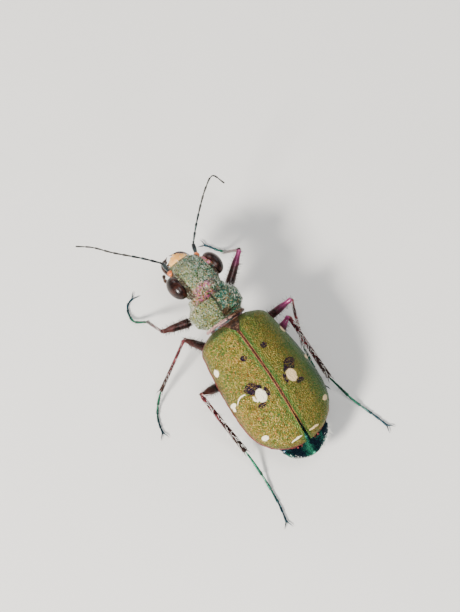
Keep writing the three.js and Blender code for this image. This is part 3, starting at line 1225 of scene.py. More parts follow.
class Coat:
    """Gathers hairs and makes them one mesh."""

    PATCH = 0.0015
    LEVELS = (0.0, 0.45, 0.8)

    def __init__(self, name: str, material: Material, slot: str, seed: int) -> None:
        """Starts an empty coat.

        Args:
            name: The piece's name.
            material: Its finish.
            slot: A material slot's name; not used.
            seed: For the random draws.
        """
        self.name = name
        self.material = material
        self.slot = slot
        self.random = np.random.default_rng(seed)
        self.points: list[Array] = []
        self.faces: list[tuple[int, ...]] = []
        self.uvs: list[tuple[float, float]] = []

    def grow(
        self, root: Array, normal: Array, lie: Array, kind: Tuft, home: tuple[float, float]
    ) -> None:
        """Adds one hair.

        Args:
            root: Where it stands, in metres.
            normal: The surface's normal.
            lie: Which way it leans.
            kind: Its sizes.
            home: Its root's place on the skin's unwrap.
        """
        draw = self.random
        length = kind.length * MM * (1 + kind.vary * draw.uniform(-1, 1))
        way = normal * (1 - kind.lean) + lie * kind.lean + draw.normal(0, kind.spread, 3)
        way /= np.linalg.norm(way) + 1e-9
        side = np.cross(way, normal + 1e-3)
        side /= np.linalg.norm(side) + 1e-9
        over = np.cross(side, way)
        thick = kind.thickness * MM / 2
        first = len(self.points)
        for level in self.LEVELS:
            middle = root + way * length * level + lie * kind.curl * length * level**2
            if level == 0:
                middle = middle - normal * thick
            for turn in range(3):
                angle = turn * 2 * math.pi / 3
                ring = (side * math.cos(angle) + over * math.sin(angle)) * thick * (1 - 0.75 * level)
                self.points.append(middle + ring)
                u = home[0] + self.PATCH * math.cos(angle) * (1 - level * 0.5)
                v = home[1] + self.PATCH * math.sin(angle) * (1 - level * 0.5)
                self.uvs.append((u, v))
        self.points.append(root + way * length + lie * kind.curl * length)
        self.uvs.append(home)
        rings = len(self.LEVELS)
        for ring in range(rings - 1):
            for turn in range(3):
                a = first + ring * 3 + turn
                b = first + ring * 3 + (turn + 1) % 3
                self.faces.append((a, b, b + 3, a + 3))
        top = first + rings * 3
        for turn in range(3):
            self.faces.append((top - 3 + turn, top - 3 + (turn + 1) % 3, top))
        self.faces.append((first + 2, first + 1, first))

    def cover(
        self,
        skin: Piece,
        matrix: Matrix,
        count: int,
        kind: Tuft,
        lie: Point,
        keep: Callable[[Array, Array], Array],
    ) -> None:
        """Sows hairs over part of a finished piece.

        Args:
            skin: The piece, in metres.
            matrix: From the frame of lie and keep to metres in the row frame.
            count: How many hairs.
            kind: Their sizes.
            lie: Which way they lean, in that frame.
            keep: Takes the faces' middles and normals in that frame and returns how likely each is.
        """
        faces = skin.data.polygons
        middles = read(faces, "center")
        normals = read(faces, "normal")
        areas = read(faces, "area", 1)[:, 0]
        back = np.array(matrix.inverted())
        turn = np.array(matrix.to_3x3())
        turn = turn / np.linalg.norm(turn[:, 0])
        own = middles @ back[:3, :3].T + back[:3, 3]
        own_normals = normals @ turn
        weight = areas * keep(own, own_normals)
        chosen = self.random.choice(len(faces), size=count, p=weight / weight.sum())
        flow = turn @ np.asarray(lie, float)
        low = own.min(0)
        span = np.maximum(own.max(0) - low, 1e-9)
        for k in chosen:
            round_ = math.atan2(own[k][2], own[k][0]) / (2 * math.pi) + 0.5
            home = (0.02 + 0.96 * round_, 0.02 + 0.96 * float((own[k][1] - low[1]) / span[1]))
            jitter = self.random.normal(0, math.sqrt(areas[k]) * 0.4, 3)
            root = middles[k] + jitter - normals[k] * float(jitter @ normals[k])
            self.grow(root, normals[k], flow - normals[k] * float(flow @ normals[k]), kind, home)

    def build(self) -> Piece:
        """Makes the mesh of all that has grown.

        Returns:
            The finished piece.
        """
        mesh = bpy.data.meshes.new(self.name)
        mesh.from_pydata([tuple(p) for p in self.points], [], self.faces)
        layer = mesh.uv_layers.new(name="OFBake")
        order = np.empty(len(mesh.loops), int)
        mesh.loops.foreach_get("vertex_index", order)
        layer.data.foreach_set("uv", np.asarray(self.uvs)[order].ravel())
        piece = bpy.data.objects.new(self.name, mesh)
        bpy.context.scene.collection.objects.link(piece)
        return finish_piece(piece, self.name, Matrix.Identity(4), [self.material], [], 40)


# The beetle's parts


@dataclass
class WingCases:
    """Two wing cases closed over the back, parted by a seam that opens at the tip."""

    length: float = 8.6
    half_width: float = 2.9
    shoulder: float = 0.79
    height: float = 1.95
    rim: float = 0.22
    wall: float = 0.14
    seam: float = 0.02
    tip_from: float = 6.9
    tip_gape: float = 0.15
    across: int = 78
    along: int = 190

    def half(self, share: Array) -> Array:
        """The half width at a share of the length."""
        swell = self.shoulder + (1 - self.shoulder) * np.sin(np.pi / 2 * np.minimum(1, share / 0.6))
        tail = np.sqrt(np.clip(1 - np.clip((share - 0.62) / 0.38, 0, 1) ** 2.5, 0, 1))
        front = 1 - 0.45 * np.clip((0.09 - share) / 0.09, 0, 1) ** 2
        return self.half_width * swell * tail * front

    def crown(self, share: Array) -> Array:
        """The height over the rim at a share of the length."""
        arch = 0.7 + 0.3 * np.sin(np.pi * np.minimum(1, share / 0.85 + 0.05))
        tail = np.sqrt(np.clip(1 - np.clip((share - 0.5) / 0.5, 0, 1) ** 3, 0, 1))
        lip = 1 - 0.42 * np.clip((0.045 - share) / 0.045, 0, 1) ** 2
        return self.height * arch * tail * lip

    def place(self, points: Array) -> Array:
        """Lays a unit sheet over the left half of the dome.

        Args:
            points: The sheet's points, from the seam to the rim and from front to tip.

        Returns:
            The points on the wing case.
        """
        turn_at = 0.9
        share = 0.003 + 0.9925 * ease(points[:, 1])
        y = self.length * share - 0.12 * smooth(-share, -0.12, 0)
        wide = self.half(share)
        opening = np.clip((y - self.tip_from) / (self.length - self.tip_from), 0, 1) ** 1.7
        seam = self.seam + self.tip_gape * opening
        start = np.arccos(np.clip((seam / wide) ** 1.25, 0, 1))
        over = np.clip(points[:, 0] / turn_at, 0, 1)
        under = np.clip((points[:, 0] - turn_at) / (1 - turn_at), 0, 1)
        angle = start * (1 - over)
        x = wide * np.cos(angle) ** 0.8
        z = self.crown(share) * np.sin(angle) ** 0.8
        gutter = bump(over, 0.95, 0.02) * (1 - under)
        bead = bump(over, 1.0, 0.02) * 0.04
        ridge = bump(x - seam, 0.05, 0.05) * 0.04 - bump(x - seam, 0.2, 0.07) * 0.015
        x = x + bead - gutter * 0.01 - under * 0.34
        z = z - under * self.rim - gutter * 0.03 + ridge
        return np.stack([x, y, z], axis=1)

    def build(self, finishes: Finishes) -> dict[int, Piece]:
        """Builds both wing cases.

        Args:
            finishes: The materials.

        Returns:
            The pieces by side.
        """
        made = {}
        for side, word in SIDES.items():
            piece = reshape(sheet(self.across, self.along), self.place)
            roughen(piece, "CLOUDS", 0.5, 0.06)
            roughen(piece, "VORONOI", 0.1, 0.03)
            modify(piece, "SOLIDIFY", thickness=self.wall, offset=-1.0, use_even_offset=False)
            if side < 0:
                seat(piece, Matrix.Scale(-1, 4, (1, 0, 0)))
            made[side] = finish_piece(
                piece, f"case_{word}", BODY, [finishes.case], [f"wing_case_{word}"]
            )
        return made


@dataclass
class Trunk:
    """The prothorax, the scutellum, the thorax and the abdomen."""

    prothorax: tuple[float, float] = (-2.5, -0.24)
    thorax: tuple[float, float] = (-0.5, 2.85)
    abdomen: tuple[float, float] = (2.7, 9.45)
    half_width: float = 1.74
    abdomen_steps: int = 6

    def build_prothorax(self, finishes: Finishes) -> Piece:
        """Builds the barrel between the head and the wing cases."""
        waist = ((0, 0.72), (0.42, 1.0), (0.68, 0.97), (0.88, 0.74), (1, 0.78))
        start, end = self.prothorax

        def width(share: Array) -> Array:
            """The half width along it."""
            return self.half_width * profile(waist, share)

        def top(share: Array) -> Array:
            """The height along it."""
            lift = 1 - 0.14 * bump(share, 0.16, 0.05) - 0.16 * bump(share, 0.86, 0.05)
            return 1.22 * (0.82 + 0.18 * np.sin(np.pi * share)) * lift

        def bottom(share: Array) -> Array:
            """The depth along it."""
            return -1.25 * (0.85 + 0.15 * np.sin(np.pi * share))

        def relief(share: Array, x: Array, z: Array) -> Array:
            """The middle line, the rounded humps beside it and the rims."""
            back = (z > 0) * (1 - bump(share, 0, 0.1) - bump(share, 1, 0.1))
            line = -0.06 * bump(x, 0, 0.09) * back
            humps = 0.06 * bump(np.abs(x), 0.8, 0.5) * bump(share, 0.5, 0.28) * (z > 0)
            rims = 0.03 * bump(share, 0.03, 0.03) + 0.04 * bump(share, 0.96, 0.03)
            return line + humps + rims

        piece = Torso(start, end, width, top, bottom, 190, 80, 0.88, relief).build()
        roughen(piece, "CLOUDS", 0.3, 0.06)
        roughen(piece, "VORONOI", 0.14, 0.05)
        return finish_piece(piece, "prothorax_plate", BODY, [finishes.prothorax], ["prothorax"])

    def build_scutellum(self, finishes: Finishes) -> Piece:
        """Builds the small triangle between the roots of the wing cases."""
        cases = WingCases()

        def place(points: Array) -> Array:
            """Draws a sheet in to a point that lies on the wing cases."""
            along = points[:, 1]
            wide = 0.56 * (1 - along) ** 0.8 + 0.02
            x = (points[:, 0] - 0.5) * 2 * wide
            y = -0.12 + 0.86 * along
            swell = 0.04 * np.sin(np.pi * points[:, 0]) * (1 - along) - 0.03 * bump(along, 0.3, 0.06)
            z = cases.crown(np.maximum(0.004, (y + 0.1) / cases.length)) + 0.05 + swell
            return np.stack([x, y, z], axis=1)

        piece = reshape(sheet(20, 24), place)
        modify(piece, "SOLIDIFY", thickness=0.3, offset=-1.0)
        return finish_piece(
            piece, "scutellum_plate", BODY, [finishes.copper], ["scutellum"], 50
        )

    def build_thorax(self, finishes: Finishes) -> Piece:
        """Builds the deep part that carries the two hind pairs of legs."""

        def width(share: Array) -> Array:
            """The half width along it."""
            return 1.95 * (0.58 + 0.42 * smooth(share, 0.14, 0.42))

        def top(share: Array) -> Array:
            """The height along it."""
            return 0.78 + 0.12 * smooth(share, 0.1, 0.3)

        def bottom(share: Array) -> Array:
            """The depth along it."""
            return -1.1 - 0.6 * smooth(share, 0.1, 0.42)

        def relief(share: Array, x: Array, z: Array) -> Array:
            """The seams between the side plates, and the keel's middle line."""
            slant = share + 0.12 * z
            seams = -0.035 * (bump(slant, 0.32, 0.018) + bump(slant, 0.68, 0.018))
            return seams - 0.03 * bump(x, 0, 0.05) * (z < 0)

        piece = Torso(*self.thorax, width, top, bottom, 150, 80, 0.8, relief).build()
        roughen(piece, "VORONOI", 0.16, 0.03)
        return finish_piece(piece, "thorax_plates", BODY, [finishes.underside], ["thorax"])

    def build_abdomen(self, finishes: Finishes) -> Piece:
        """Builds the ringed keel, its last ring showing behind the wing cases."""
        steps = self.abdomen_steps

        def taper(share: Array) -> Array:
            """How it narrows."""
            return np.maximum(0.1, 1 - np.maximum(0, (share - 0.25) / 0.8) ** 2.4)

        def ringed(share: Array) -> Array:
            """The overlap of its rings."""
            return 1 - 0.045 * ((share * steps) % 1)

        def width(share: Array) -> Array:
            """The half width along it."""
            close = np.sqrt(np.clip(1 - np.clip((share - 0.9) / 0.105, 0, 1) ** 2, 0.02, 1))
            return 2.3 * taper(share) ** 0.48 * ringed(share) * close

        def top(share: Array) -> Array:
            """The height along it, low under the closed tips."""
            return profile(((0, 0.9), (0.57, 0.7), (0.82, 0.02), (1, -0.4)), share)

        def bottom(share: Array) -> Array:
            """The depth along it."""
            return -1.55 * (0.6 + 0.4 * taper(share)) * ringed(share)

        piece = Torso(*self.abdomen, width, top, bottom, 120, 150, 0.9).build()
        roughen(piece, "VORONOI", 0.16, 0.025)
        return finish_piece(piece, "abdomen_rings", BODY, [finishes.abdomen], ["abdomen"])


@dataclass
class HeadParts:
    """The skull, the eyes, the lip, the jaws and the palps."""

    length: float = 2.25
    rear: float = 0.75
    half_width: float = 1.3
    height: float = 0.95
    depth: float = 0.95
    eye_centre: Point = (1.4, -0.75, 0.2)
    eye_size: Point = (0.54, 0.84, 0.64)

    def build_skull(self, finishes: Finishes) -> Piece:
        """Builds the capsule, with its brow and its ridges beside the eyes."""

        def width(share: Array) -> Array:
            """The half width along it."""
            stops = ((0, 0.7), (0.12, 0.8), (0.28, 0.97), (0.45, 1.0), (0.62, 0.98), (0.82, 0.84), (1, 0.6))
            return self.half_width * profile(stops, share)

        def top(share: Array) -> Array:
            """The height along it."""
            stops = ((0, 0.5), (0.04, 0.62), (0.14, 0.8), (0.42, 1.0), (0.65, 0.92), (0.88, 0.62), (1, 0.26))
            return self.height * profile(stops, share)

        def bottom(share: Array) -> Array:
            """The depth along it."""
            return -self.depth * profile(((0, 0.5), (0.16, 0.78), (0.55, 1), (1, 0.6)), share)

        def relief(share: Array, x: Array, z: Array) -> Array:
            """The shallow dip between the eyes and the ridges along them."""
            dips = -0.04 * bump(np.abs(x), 0.5, 0.22) * bump(share, 0.62, 0.2) * (z > 0)
            brows = 0.15 * bump(np.abs(x), 1.08, 0.13) * bump(share, 0.5, 0.17) * (z > 0)
            ridges = 0.01 * np.sin(np.abs(x) * 70) * bump(np.abs(x), 0.8, 0.2) * (z > 0)
            seam = -0.035 * bump(share, 0.91, 0.015)
            return dips + brows + ridges + seam

        skull = Torso(self.rear, -self.length, width, top, bottom, 190, 96, 0.72, relief).build()
        roughen(skull, "CLOUDS", 0.3, 0.05)
        roughen(skull, "VORONOI", 0.12, 0.04)
        return finish_piece(skull, "skull", HEAD, [finishes.head], ["head"])

    def build_eye(self, side: int, finishes: Finishes) -> Piece:
        """Builds one bulging eye."""
        x, y, z = self.eye_centre
        eye = ellipsoid((side * x, y, z), self.eye_size, 40)
        return finish_piece(
            eye, f"eye_{SIDES[side]}_lens", HEAD, [finishes.eye], [f"eye_{SIDES[side]}"], 80
        )

    def build_lip(self, finishes: Finishes) -> Piece:
        """Builds the pale upper lip with its toothed edge."""

        def place(points: Array) -> Array:
            """Rounds a sheet over the jaws, with a tooth at the middle of its edge."""
            across = points[:, 0] * 2 - 1
            wide = 0.64 - 0.14 * points[:, 1] ** 3
            tooth = 0.12 * bump(across, 0, 0.12) + 0.05 * bump(np.abs(across), 0.42, 0.12)
            edge = 0.62 * np.sqrt(1 - 0.45 * across**2) + tooth * smooth(points[:, 1], 0.6, 1)
            y = -2.2 - points[:, 1] * edge
            z = 0.12 - 0.2 * across**2 - 0.12 * points[:, 1] ** 2 + 0.05 * np.sin(np.pi * points[:, 1])
            return np.stack([across * wide, y, z], axis=1)

        lip = reshape(sheet(48, 26), place)
        modify(lip, "SOLIDIFY", thickness=0.16, offset=0.0)
        modify(lip, "BEVEL", width=0.03, segments=2)
        return finish_piece(lip, "upper_lip", HEAD, [finishes.lip], ["labrum"], 50)

    def build_jaw(self, side: int, finishes: Finishes) -> Piece:
        """Builds one sickle with its inner teeth."""
        line = ((0.6, -1.85, -0.5), (0.74, -2.55, -0.62), (0.68, -3.1, -0.72), (0.08, -3.55, -0.85))
        radii = ((0, 0.3), (0.35, 0.27), (0.7, 0.17), (1, 0.02))
        parts = [Limb(on_side(side, line), radii, 20, 36, 0.75).build()]
        for x, y, reach in ((0.52, -3.15, 0.24), (0.6, -2.9, 0.3), (0.62, -2.6, 0.34)):
            hook = (
                (x + 0.12, y + 0.05, -0.72),
                (x - reach / 2, y - 0.06, -0.74),
                (x - reach, y - 0.2, -0.76),
            )
            parts.append(Limb(on_side(side, hook), ((0, 0.13), (0.5, 0.08), (1, 0.01)), 12, 10).build())
        word = SIDES[side]
        return finish_piece(join(parts), f"jaw_{word}", HEAD, [finishes.jaw], [f"mandible_{word}"], 70)

    def build_palp(self, side: int, outer: bool, finishes: Finishes) -> Piece:
        """Builds one jointed palp."""
        if outer:
            joints = ((0.95, -1.6, -0.8), (1.1, -2.2, -1.3), (1.02, -2.7, -1.5), (0.8, -3.05, -1.65))
        else:
            joints = ((0.36, -1.8, -1.1), (0.42, -2.5, -1.6), (0.42, -2.95, -1.7), (0.34, -3.25, -1.85))
        radii = ((0, 0.06), (0.2, 0.08), (0.75, 0.12), (0.95, 0.1), (1, 0.04))
        knots = [Vector(joint) for joint in on_side(side, joints)]
        parts = []
        for start, end in zip(knots, knots[1:]):
            middle = start.lerp(end, 0.5) + Vector((side * 0.02, 0, 0.02))
            parts.append(Limb([start, middle, end], radii, 14, 14).build())
        node = f"{'outer' if outer else 'inner'}_palp_{SIDES[side]}"
        return finish_piece(join(parts), f"{node}_joints", HEAD, [finishes.copper], [node])

    def build(self, finishes: Finishes) -> dict[str, Piece]:
        """Builds the whole head.

        Args:
            finishes: The materials.

        Returns:
            The skull and the lip by name.
        """
        made = {"skull": self.build_skull(finishes), "lip": self.build_lip(finishes)}
        for side in SIDES:
            self.build_eye(side, finishes)
            self.build_jaw(side, finishes)
            self.build_palp(side, True, finishes)
            self.build_palp(side, False, finishes)
        return made


@dataclass
class Feeler:
    """One feeler: a stout first joint, a small second one and nine slender ones."""

    side: int
    whip: Sequence[Point]
    root: Point = (1.02, -1.85, 0.22)
    joints: int = 9
    bare_joints: int = 4
    swelling: Stops = ((0, 0.55), (0.15, 0.72), (0.85, 1), (0.97, 0.9), (1, 0.45))

    def build(self, finishes: Finishes) -> Piece:
        """Builds both of its pieces.

        Args:
            finishes: The materials.

        Returns:
            The whip.
        """
        word = SIDES[self.side]
        root = STANCE.body @ STANCE.head @ Vector(on_side(self.side, [self.root])[0])
        path = [Vector(point) for point in self.whip]
        elbow = path[0]
        radii = ((0, 0.08), (0.1, 0.1), (0.7, 0.14), (0.95, 0.12), (1, 0.05))
        base = Limb([root, root.lerp(elbow, 0.5), elbow], radii, 18, 20).build()
        socket = ellipsoid(tuple(root), (0.2, 0.2, 0.17), 12)
        materials = [finishes.feeler_base, finishes.socket]
        first = join([paint(base, materials, 0), paint(socket, materials, 1)])
        finish_piece(first, f"feeler_{word}_first", FLOOR, materials, [f"feeler_base_{word}"])
        cuts = np.linspace(0, 1, self.joints + 1)
        cuts = np.concatenate([[0, 0.035], 0.035 + 0.965 * cuts[1:]])
        materials = [finishes.feeler_base, finishes.feeler]
        parts = []
        for k, (a, b) in enumerate(zip(cuts, cuts[1:])):
            places, _ = rounded_path(path, np.linspace(a, b, 4))
            thick = 0.075 if k == 0 else 0.085 - 0.03 * k / self.joints
            joint = Limb(places, scaled(self.swelling, thick), 12, 12).build()
            parts.append(paint(joint, materials, 0 if k < self.bare_joints else 1))
        return finish_piece(
            join(parts), f"feeler_{word}_whip", FLOOR, materials, [f"feeler_whip_{word}"]
        )


@dataclass
class Pair:
    """The sizes of one pair of legs: the hips in the body frame, the thighs' and the shins' radius."""

    root: Point
    end: Point
    radii: Stops
    swell: float
    slim: float


PAIRS = {
    "fore": Pair((0.5, -1.5, -0.75), (0.95, -1.5, -1.55), ((0, 0.52), (0.6, 0.5), (1, 0.25)), 0.3, 0.11),
    "middle": Pair((0.55, 0.75, -1.0), (1.0, 0.9, -1.95), ((0, 0.55), (0.6, 0.52), (1, 0.25)), 0.3, 0.12),
    "hind": Pair((0.5, 2.2, -1.1), (1.2, 2.75, -1.95), ((0, 0.62), (0.6, 0.58), (1, 0.28)), 0.33, 0.17),
}


@dataclass
class Leg:
    """One leg: hip, thigh, shin with its spurs, and a foot of five joints with two claws."""

    pair: str
    side: int
    knee: Point
    ankle: Point
    toes: Sequence[tuple[float, float]]
    heel_height: float = 0.3
    sole_height: float = 0.085
    cuts: tuple[float, ...] = (0.0, 0.36, 0.56, 0.74, 0.87, 1.0)
    swelling: Stops = ((0, 0.55), (0.12, 0.7), (0.8, 0.92), (0.95, 1), (1, 0.5))

    @property
    def name(self) -> str:
        """The leg's name, as the solids have it."""
        return f"{self.pair}_{SIDES[self.side]}"

    def build(self, finishes: Finishes) -> dict[str, Piece]:
        """Builds the leg's four pieces.

        Args:
            finishes: The materials.

        Returns:
            The pieces by part.
        """
        return {
            "hip": self.build_hip(finishes),
            "thigh": self.build_thigh(finishes),
            "shin": self.build_shin(finishes),
            "foot": self.build_foot(finishes),
        }

    def hip_points(self) -> tuple[Vector, Vector]:
        """The hip's two ends over the floor."""
        pair = PAIRS[self.pair]
        root, end = on_side(self.side, (pair.root, pair.end))
        return STANCE.body @ Vector(root), STANCE.body @ Vector(end)

    def build_hip(self, finishes: Finishes) -> Piece:
        """Builds the hip and the small joint under it."""
        root, end = self.hip_points()
        hip = Limb([root, root.lerp(end, 0.5), end], PAIRS[self.pair].radii, 28, 20).build()
        way = (Vector(self.knee) - end).normalized()
        second = ellipsoid(tuple(end + way * 0.06), (0.2, 0.22, 0.2), 12)
        piece = join([hip, second])
        return finish_piece(
            piece, f"hip_{self.name}_joint", FLOOR, [finishes.underside], [f"hip_{self.name}"]
        )

    def build_thigh(self, finishes: Finishes) -> Piece:
        """Builds the thigh, swollen near its root."""
        _, end = self.hip_points()
        knee = Vector(self.knee)
        middle = end.lerp(knee, 0.5) + Vector((0, 0, -0.1))
        swell = PAIRS[self.pair].swell
        radii = (
            *((0, 0.12), (0.06, 0.18), (0.35, swell), (0.7, swell * 0.82)),
            *((0.93, 0.15), (0.985, 0.16), (1, 0.06)),
        )
        thigh = Limb([end, middle, knee], radii, 24, 40).build()
        self.mark_along(thigh, end, knee)
        material = finishes.thigh[self.side]
        return finish_piece(
            thigh, f"thigh_{self.name}_plate", FLOOR, [material], [f"thigh_{self.name}"]
        )

    def build_shin(self, finishes: Finishes) -> Piece:
        """Builds the shin and the two spurs at its end."""
        knee = Vector(self.knee)
        ankle = Vector(self.ankle)
        middle = knee.lerp(ankle, 0.5) + Vector((0, 0, -0.05))
        slim = PAIRS[self.pair].slim
        radii = (
            *((0, 0.06), (0.03, 0.13), (0.1, slim * 0.8), (0.5, slim * 0.85)),
            *((0.9, slim), (0.98, slim * 1.1), (1, 0.05)),
        )
        shin = Limb([knee, middle, ankle], radii, 18, 36).build()
        self.mark_along(shin, knee, ankle)
        way = (ankle - knee).normalized()
        parts = [shin]
        for turn in (-1, 1):
            aside = way.cross(Vector((0, 0, 1))).normalized() * turn * 0.1
            start = ankle - way * 0.12 + aside * 0.6
            spur_line = [start, start + way * 0.22 + aside, start + way * 0.42 + aside * 1.3]
            spur = Limb(spur_line, ((0, 0.035), (1, 0.006)), 8, 6).build()
            self.mark_along(spur, knee, ankle)
            parts.append(spur)
        return finish_piece(
            join(parts), f"shin_{self.name}_plate", FLOOR, [finishes.shin], [f"shin_{self.name}"]
        )

    def mark_along(self, piece: Piece, start: Vector, end: Vector) -> None:
        """Writes how far along the limb each point lies.

        Args:
            piece: The object to mark.
            start: Where the share is 0.
            end: Where it is 1.
        """
        way = end - start
        points = read(piece.data.vertices, "co") - np.array(start)
        share = points @ np.array(way) / way.length_squared
        layer = piece.data.attributes.new("along", "FLOAT", "POINT")
        layer.data.foreach_set("value", np.clip(share, 0, 1))

    def build_foot(self, finishes: Finishes) -> Piece:
        """Builds the five joints of the foot and its claws."""
        path = [Vector(self.ankle)] + [Vector((x, y, self.sole_height)) for x, y in self.toes]
        path[1].z = self.heel_height
        parts = []
        for k, (a, b) in enumerate(zip(self.cuts, self.cuts[1:])):
            places, _ = rounded_path(path, np.linspace(a, b, 5))
            part = Limb(places, scaled(self.swelling, 0.095 - 0.004 * k), 14, 14).build()
            self.mark_along(part, path[0], path[-1])
            parts.append(part)
        last = path[-1]
        ahead = last - path[-2]
        ahead.z = 0
        ahead.normalize()
        across = Vector((-ahead.y, ahead.x, 0))
        for turn in (-1, 1):
            mid = last + ahead * 0.22 + across * turn * 0.17 + Vector((0, 0, 0.04))
            tip = last + ahead * 0.42 + across * turn * 0.28
            tip.z = 0.06
            radii = ((0, 0.045), (0.5, 0.032), (1, 0.006))
            claw = Limb([last - ahead * 0.06, mid, tip], radii, 8, 10).build()
            self.mark_along(claw, path[0], path[-1])
            parts.append(claw)
        foot = join(parts)
        reshape(foot, lambda points: np.maximum(points, (-np.inf, -np.inf, 0.0)))
        return finish_piece(
            foot, f"foot_{self.name}_joints", FLOOR, [finishes.foot], [f"foot_{self.name}"]
        )


LEGS = (
    Leg(
        *("fore", 1, (3.33, -2.32, 3.6), (3.28, -4.13, 1.2)),
        ((3.8, -4.95), (3.7, -5.7), (3.4, -6.15), (2.95, -6.3)),
    ),
    Leg(
        *("fore", -1, (-3.55, -3.81, 4.2), (-3.38, -5.1, 1.3)),
        ((-3.52, -5.5), (-3.3, -5.9), (-3.1, -6.25), (-2.85, -6.6)),
    ),
    Leg(
        *("middle", 1, (2.62, -1.04, 3.9), (5.22, 0.08, 1.1)),
        ((5.75, 0.5), (6.1, 0.95), (6.35, 1.5), (6.5, 2.1)),
    ),
    Leg(
        *("middle", -1, (-4.34, 0.63, 3.9), (-3.74, 2.8, 1.1)),
        ((-3.7, 3.8), (-3.65, 4.4), (-3.6, 4.9), (-3.5, 5.4)),
    ),
    Leg(
        *("hind", 1, (3.84, 2.5, 3.9), (3.19, 6.32, 1.1)),
        ((3.12, 8.1), (3.2, 9.2), (3.35, 10.2), (3.6, 11.2)),
    ),
    Leg(
        *("hind", -1, (-3.53, 1.43, 3.9), (-3.83, 5.46, 1.2)),
        ((-4.35, 7.2), (-4.7, 8.2), (-4.95, 9.0), (-5.15, 9.8)),
    ),
)

FEELERS = (
    Feeler(
        1, ((1.0, -5.6, 4.85), (1.9, -6.5, 5.2), (3.3, -7.65, 5.85), (4.2, -8.5, 6.3), (5.05, -9.05, 6.6))
    ),
    Feeler(
        -1,
        (
            *((-1.27, -5.55, 4.9), (-2.15, -6.4, 5.5), (-3.75, -7.65, 6.5)),
            *((-4.45, -7.95, 6.75), (-4.9, -7.3, 6.2)),
        ),
    ),
)


# The studio


class Light(Enum):
    """The studio's soft boxes: place over the beetle, size, power and tint."""

    KEY = ((0.17, 0.05, 0.15), 0.045, 1.3, (1.0, 0.96, 0.90))
    TOP = ((0.0, 0.05, 0.26), 0.12, 0.35, (1.0, 1.0, 1.0))
    FILL = ((-0.18, -0.08, 0.12), 0.14, 0.10, (0.92, 0.96, 1.0))
    BACK = ((-0.02, -0.20, 0.12), 0.10, 0.12, (1.0, 1.0, 1.0))


@dataclass
class Studio:
    """The floor, the lights and the camera."""

    azimuth: float = math.radians(144.5)
    elevation: float = math.radians(70)
    field: float = 37.3
    lens: float = 180.0
    sensor: float = 36.0
    aim: Point = (0.0, 0.0, 1.3)
    aim_pixel: tuple[float, float] = (231.0, 322.0)
    frame_pixels: tuple[float, float] = (460.0, 612.0)
    floor_size: float = 1.2
    floor_drop: float = 0.00002
    floor_dark: Colour = (0.80, 0.785, 0.75)
    floor_light: Colour = (0.86, 0.845, 0.81)
    glow: Colour = (0.93, 0.95, 1.0)
    glow_strength: float = 0.28

    def build(self) -> None:
        """Builds it all round the beetle."""
        self.build_floor()
        self.build_lights()
        self.build_camera()

    def build_floor(self) -> None:
        """Lays the pale floor."""
        rest_tools()
        bpy.ops.mesh.primitive_plane_add(size=self.floor_size, location=(0, 0, -self.floor_drop))
        floor = bpy.context.object
        floor.name = "studio_floor"
        kit = Kit("pale_floor")
        point = kit.place(FLOOR)
        tint = kit.mix(kit.noise(point, 0.08, 3.0), self.floor_dark, self.floor_light)
        floor.data.materials.append(kit.surface(Base_Color=tint, Roughness=0.75))

    def build_lights(self) -> None:
        """Hangs the soft boxes and fills the room with a pale glow."""
        for light in Light:
            place, size, power, tint = light.value
            data = bpy.data.lights.new("light_" + light.name.lower(), "AREA")
            data.size = size
            data.energy = power
            data.color = tint
            lamp = bpy.data.objects.new(data.name, data)
            lamp.location = place
            lamp.rotation_euler = (-Vector(place)).to_track_quat("-Z", "Y").to_euler()
            bpy.context.scene.collection.objects.link(lamp)
        world = bpy.data.worlds.new("room")
        world.use_nodes = True
        background = world.node_tree.nodes["Background"]
        background.inputs[0].default_value = (*self.glow, 1)
        background.inputs[1].default_value = self.glow_strength
        bpy.context.scene.world = world

    def build_camera(self) -> None:
        """Sets the camera at the photograph's angle."""
        back = Vector(
            (
                math.sin(self.azimuth) * math.cos(self.elevation),
                -math.cos(self.azimuth) * math.cos(self.elevation),
                math.sin(self.elevation),
            )
        )
        right = Vector((0, 0, 1)).cross(back).normalized()
        up = back.cross(right)
        pixel = self.field * MM / self.frame_pixels[1]
        offset = [self.frame_pixels[i] / 2 - self.aim_pixel[i] for i in range(2)]
        target = BODY @ Vector(self.aim) + right * offset[0] * pixel - up * offset[1] * pixel
        data = bpy.data.cameras.new("camera")
        data.lens = self.lens
        data.sensor_width = self.sensor
        data.clip_start = 0.01
        distance = self.lens / self.sensor * self.field * MM
        camera = bpy.data.objects.new("camera", data)
        camera.location = target + back * distance
        camera.rotation_euler = back.to_track_quat("Z", "Y").to_euler()
        bpy.context.scene.collection.objects.link(camera)
        bpy.context.scene.camera = camera


# Where hairs grow, from the faces' middles and normals
KEEP = {
    "flanks": lambda p, n: (np.abs(n[:, 0]) > 0.3) * (p[:, 2] < 0.3),
    "belly_sides": lambda p, n: (p[:, 2] < -0.3) * (np.abs(p[:, 0]) > 0.9),
    "last_ring": lambda p, n: (p[:, 1] > 8.2) * (np.abs(n[:, 2]) < 0.75),
    "shoulders": lambda p, n: np.abs(p[:, 0]) > 1.1,
    "lip_edge": lambda p, n: (p[:, 1] < -2.6) * (n[:, 2] > 0.3),
    "crown": lambda p, n: (p[:, 2] > -0.4) * (np.abs(p[:, 0]) < 1.0),
    "over_floor": lambda p, n: p[:, 2] > 0.12,
    "upper_side": lambda p, n: n[:, 2] > 0.2,
}


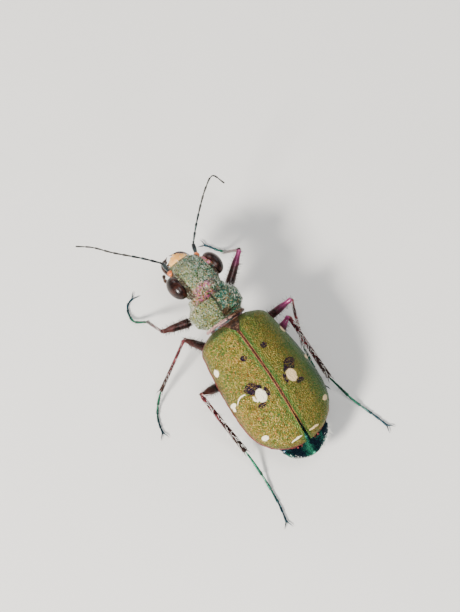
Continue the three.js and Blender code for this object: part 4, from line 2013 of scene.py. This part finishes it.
def grow_hairs(pieces: dict[str, Piece], finishes: Finishes) -> None:
    """Sows the hairs of the body and the legs.

    Args:
        pieces: The finished pieces by name.
        finishes: The materials.
    """
    flanks = Coat("flank_hairs", finishes.hair, "underside", SEED)
    low = Tuft(0.42, 0.02, 0.5, 0.2, 0.3)
    edge = Tuft(0.24, 0.022, 0.4, 0.2, 0.3)
    flanks.cover(pieces["thorax"], BODY, 300, low, (0.2, 1, -0.4), KEEP["flanks"])
    flanks.cover(pieces["abdomen"], BODY, 420, low, (0, 1, -0.2), KEEP["belly_sides"])
    flanks.cover(pieces["abdomen"], BODY, 260, edge, (0, 1, 0.2), KEEP["last_ring"])
    flanks.build()
    crown = Coat("fore_body_hairs", finishes.hair, "fore_body", SEED + 1)
    short = Tuft(0.22, 0.017, 0.5, 0.2, 0.3)
    bristle = Tuft(0.36, 0.014, 0.85, 0.3, 0.12)
    crown.cover(pieces["prothorax"], BODY, 280, short, (0, -1, 0.2), KEEP["shoulders"])
    crown.cover(pieces["lip"], HEAD, 8, bristle, (0, -1, -0.2), KEEP["lip_edge"])
    crown.cover(pieces["skull"], HEAD, 90, short, (0, -1, 0.3), KEEP["crown"])
    crown.build()
    kinds = {
        "thigh": (320, Tuft(0.22, 0.018, 0.35, 0.2, 0.25), finishes.dark_hair),
        "shin": (90, Tuft(0.28, 0.02, 0.45, 0.25, 0.3), finishes.hair),
        "shin_hind": (140, Tuft(0.46, 0.03, 0.3, 0.2, 0.25), finishes.hair),
        "shin_fore": (45, Tuft(0.22, 0.014, 0.45, 0.25, 0.3), finishes.hair),
        "foot": (60, Tuft(0.13, 0.014, 0.5, 0.2, 0.3), finishes.dark_hair),
    }
    for index, (name, piece) in enumerate(pieces.items()):
        part, *rest = name.split("_")
        if part not in kinds:
            continue
        count, kind, material = kinds.get(f"{part}_{rest[0]}", kinds[part])
        down = Coat(f"{name}_hairs", material, part, SEED + 10 + index)
        lie = (0, -1, -0.4) if rest[0] == "fore" else (0, 1, -0.4)
        down.cover(piece, FLOOR, count, kind, lie, KEEP["over_floor"])
        if name == "thigh_middle_right":
            down.cover(piece, FLOOR, 60, Tuft(0.3, 0.016, 0.3, 0.2, 0.3), lie, KEEP["upper_side"])
        down.build()


def main() -> None:
    """Builds the beetle and its studio, in order."""
    finishes = Finishes()
    pieces: dict[str, Piece] = {}
    cases = WingCases().build(finishes)
    pieces["case_left"] = cases[1]
    trunk = Trunk()
    pieces["prothorax"] = trunk.build_prothorax(finishes)
    trunk.build_scutellum(finishes)
    pieces["thorax"] = trunk.build_thorax(finishes)
    pieces["abdomen"] = trunk.build_abdomen(finishes)
    pieces.update(HeadParts().build(finishes))
    for feeler in FEELERS:
        feeler.build(finishes)
    for leg in LEGS:
        for part, piece in leg.build(finishes).items():
            pieces[f"{part}_{leg.name}"] = piece
    grow_hairs(pieces, finishes)
    Studio().build()


if __name__ == "__main__":
    main()
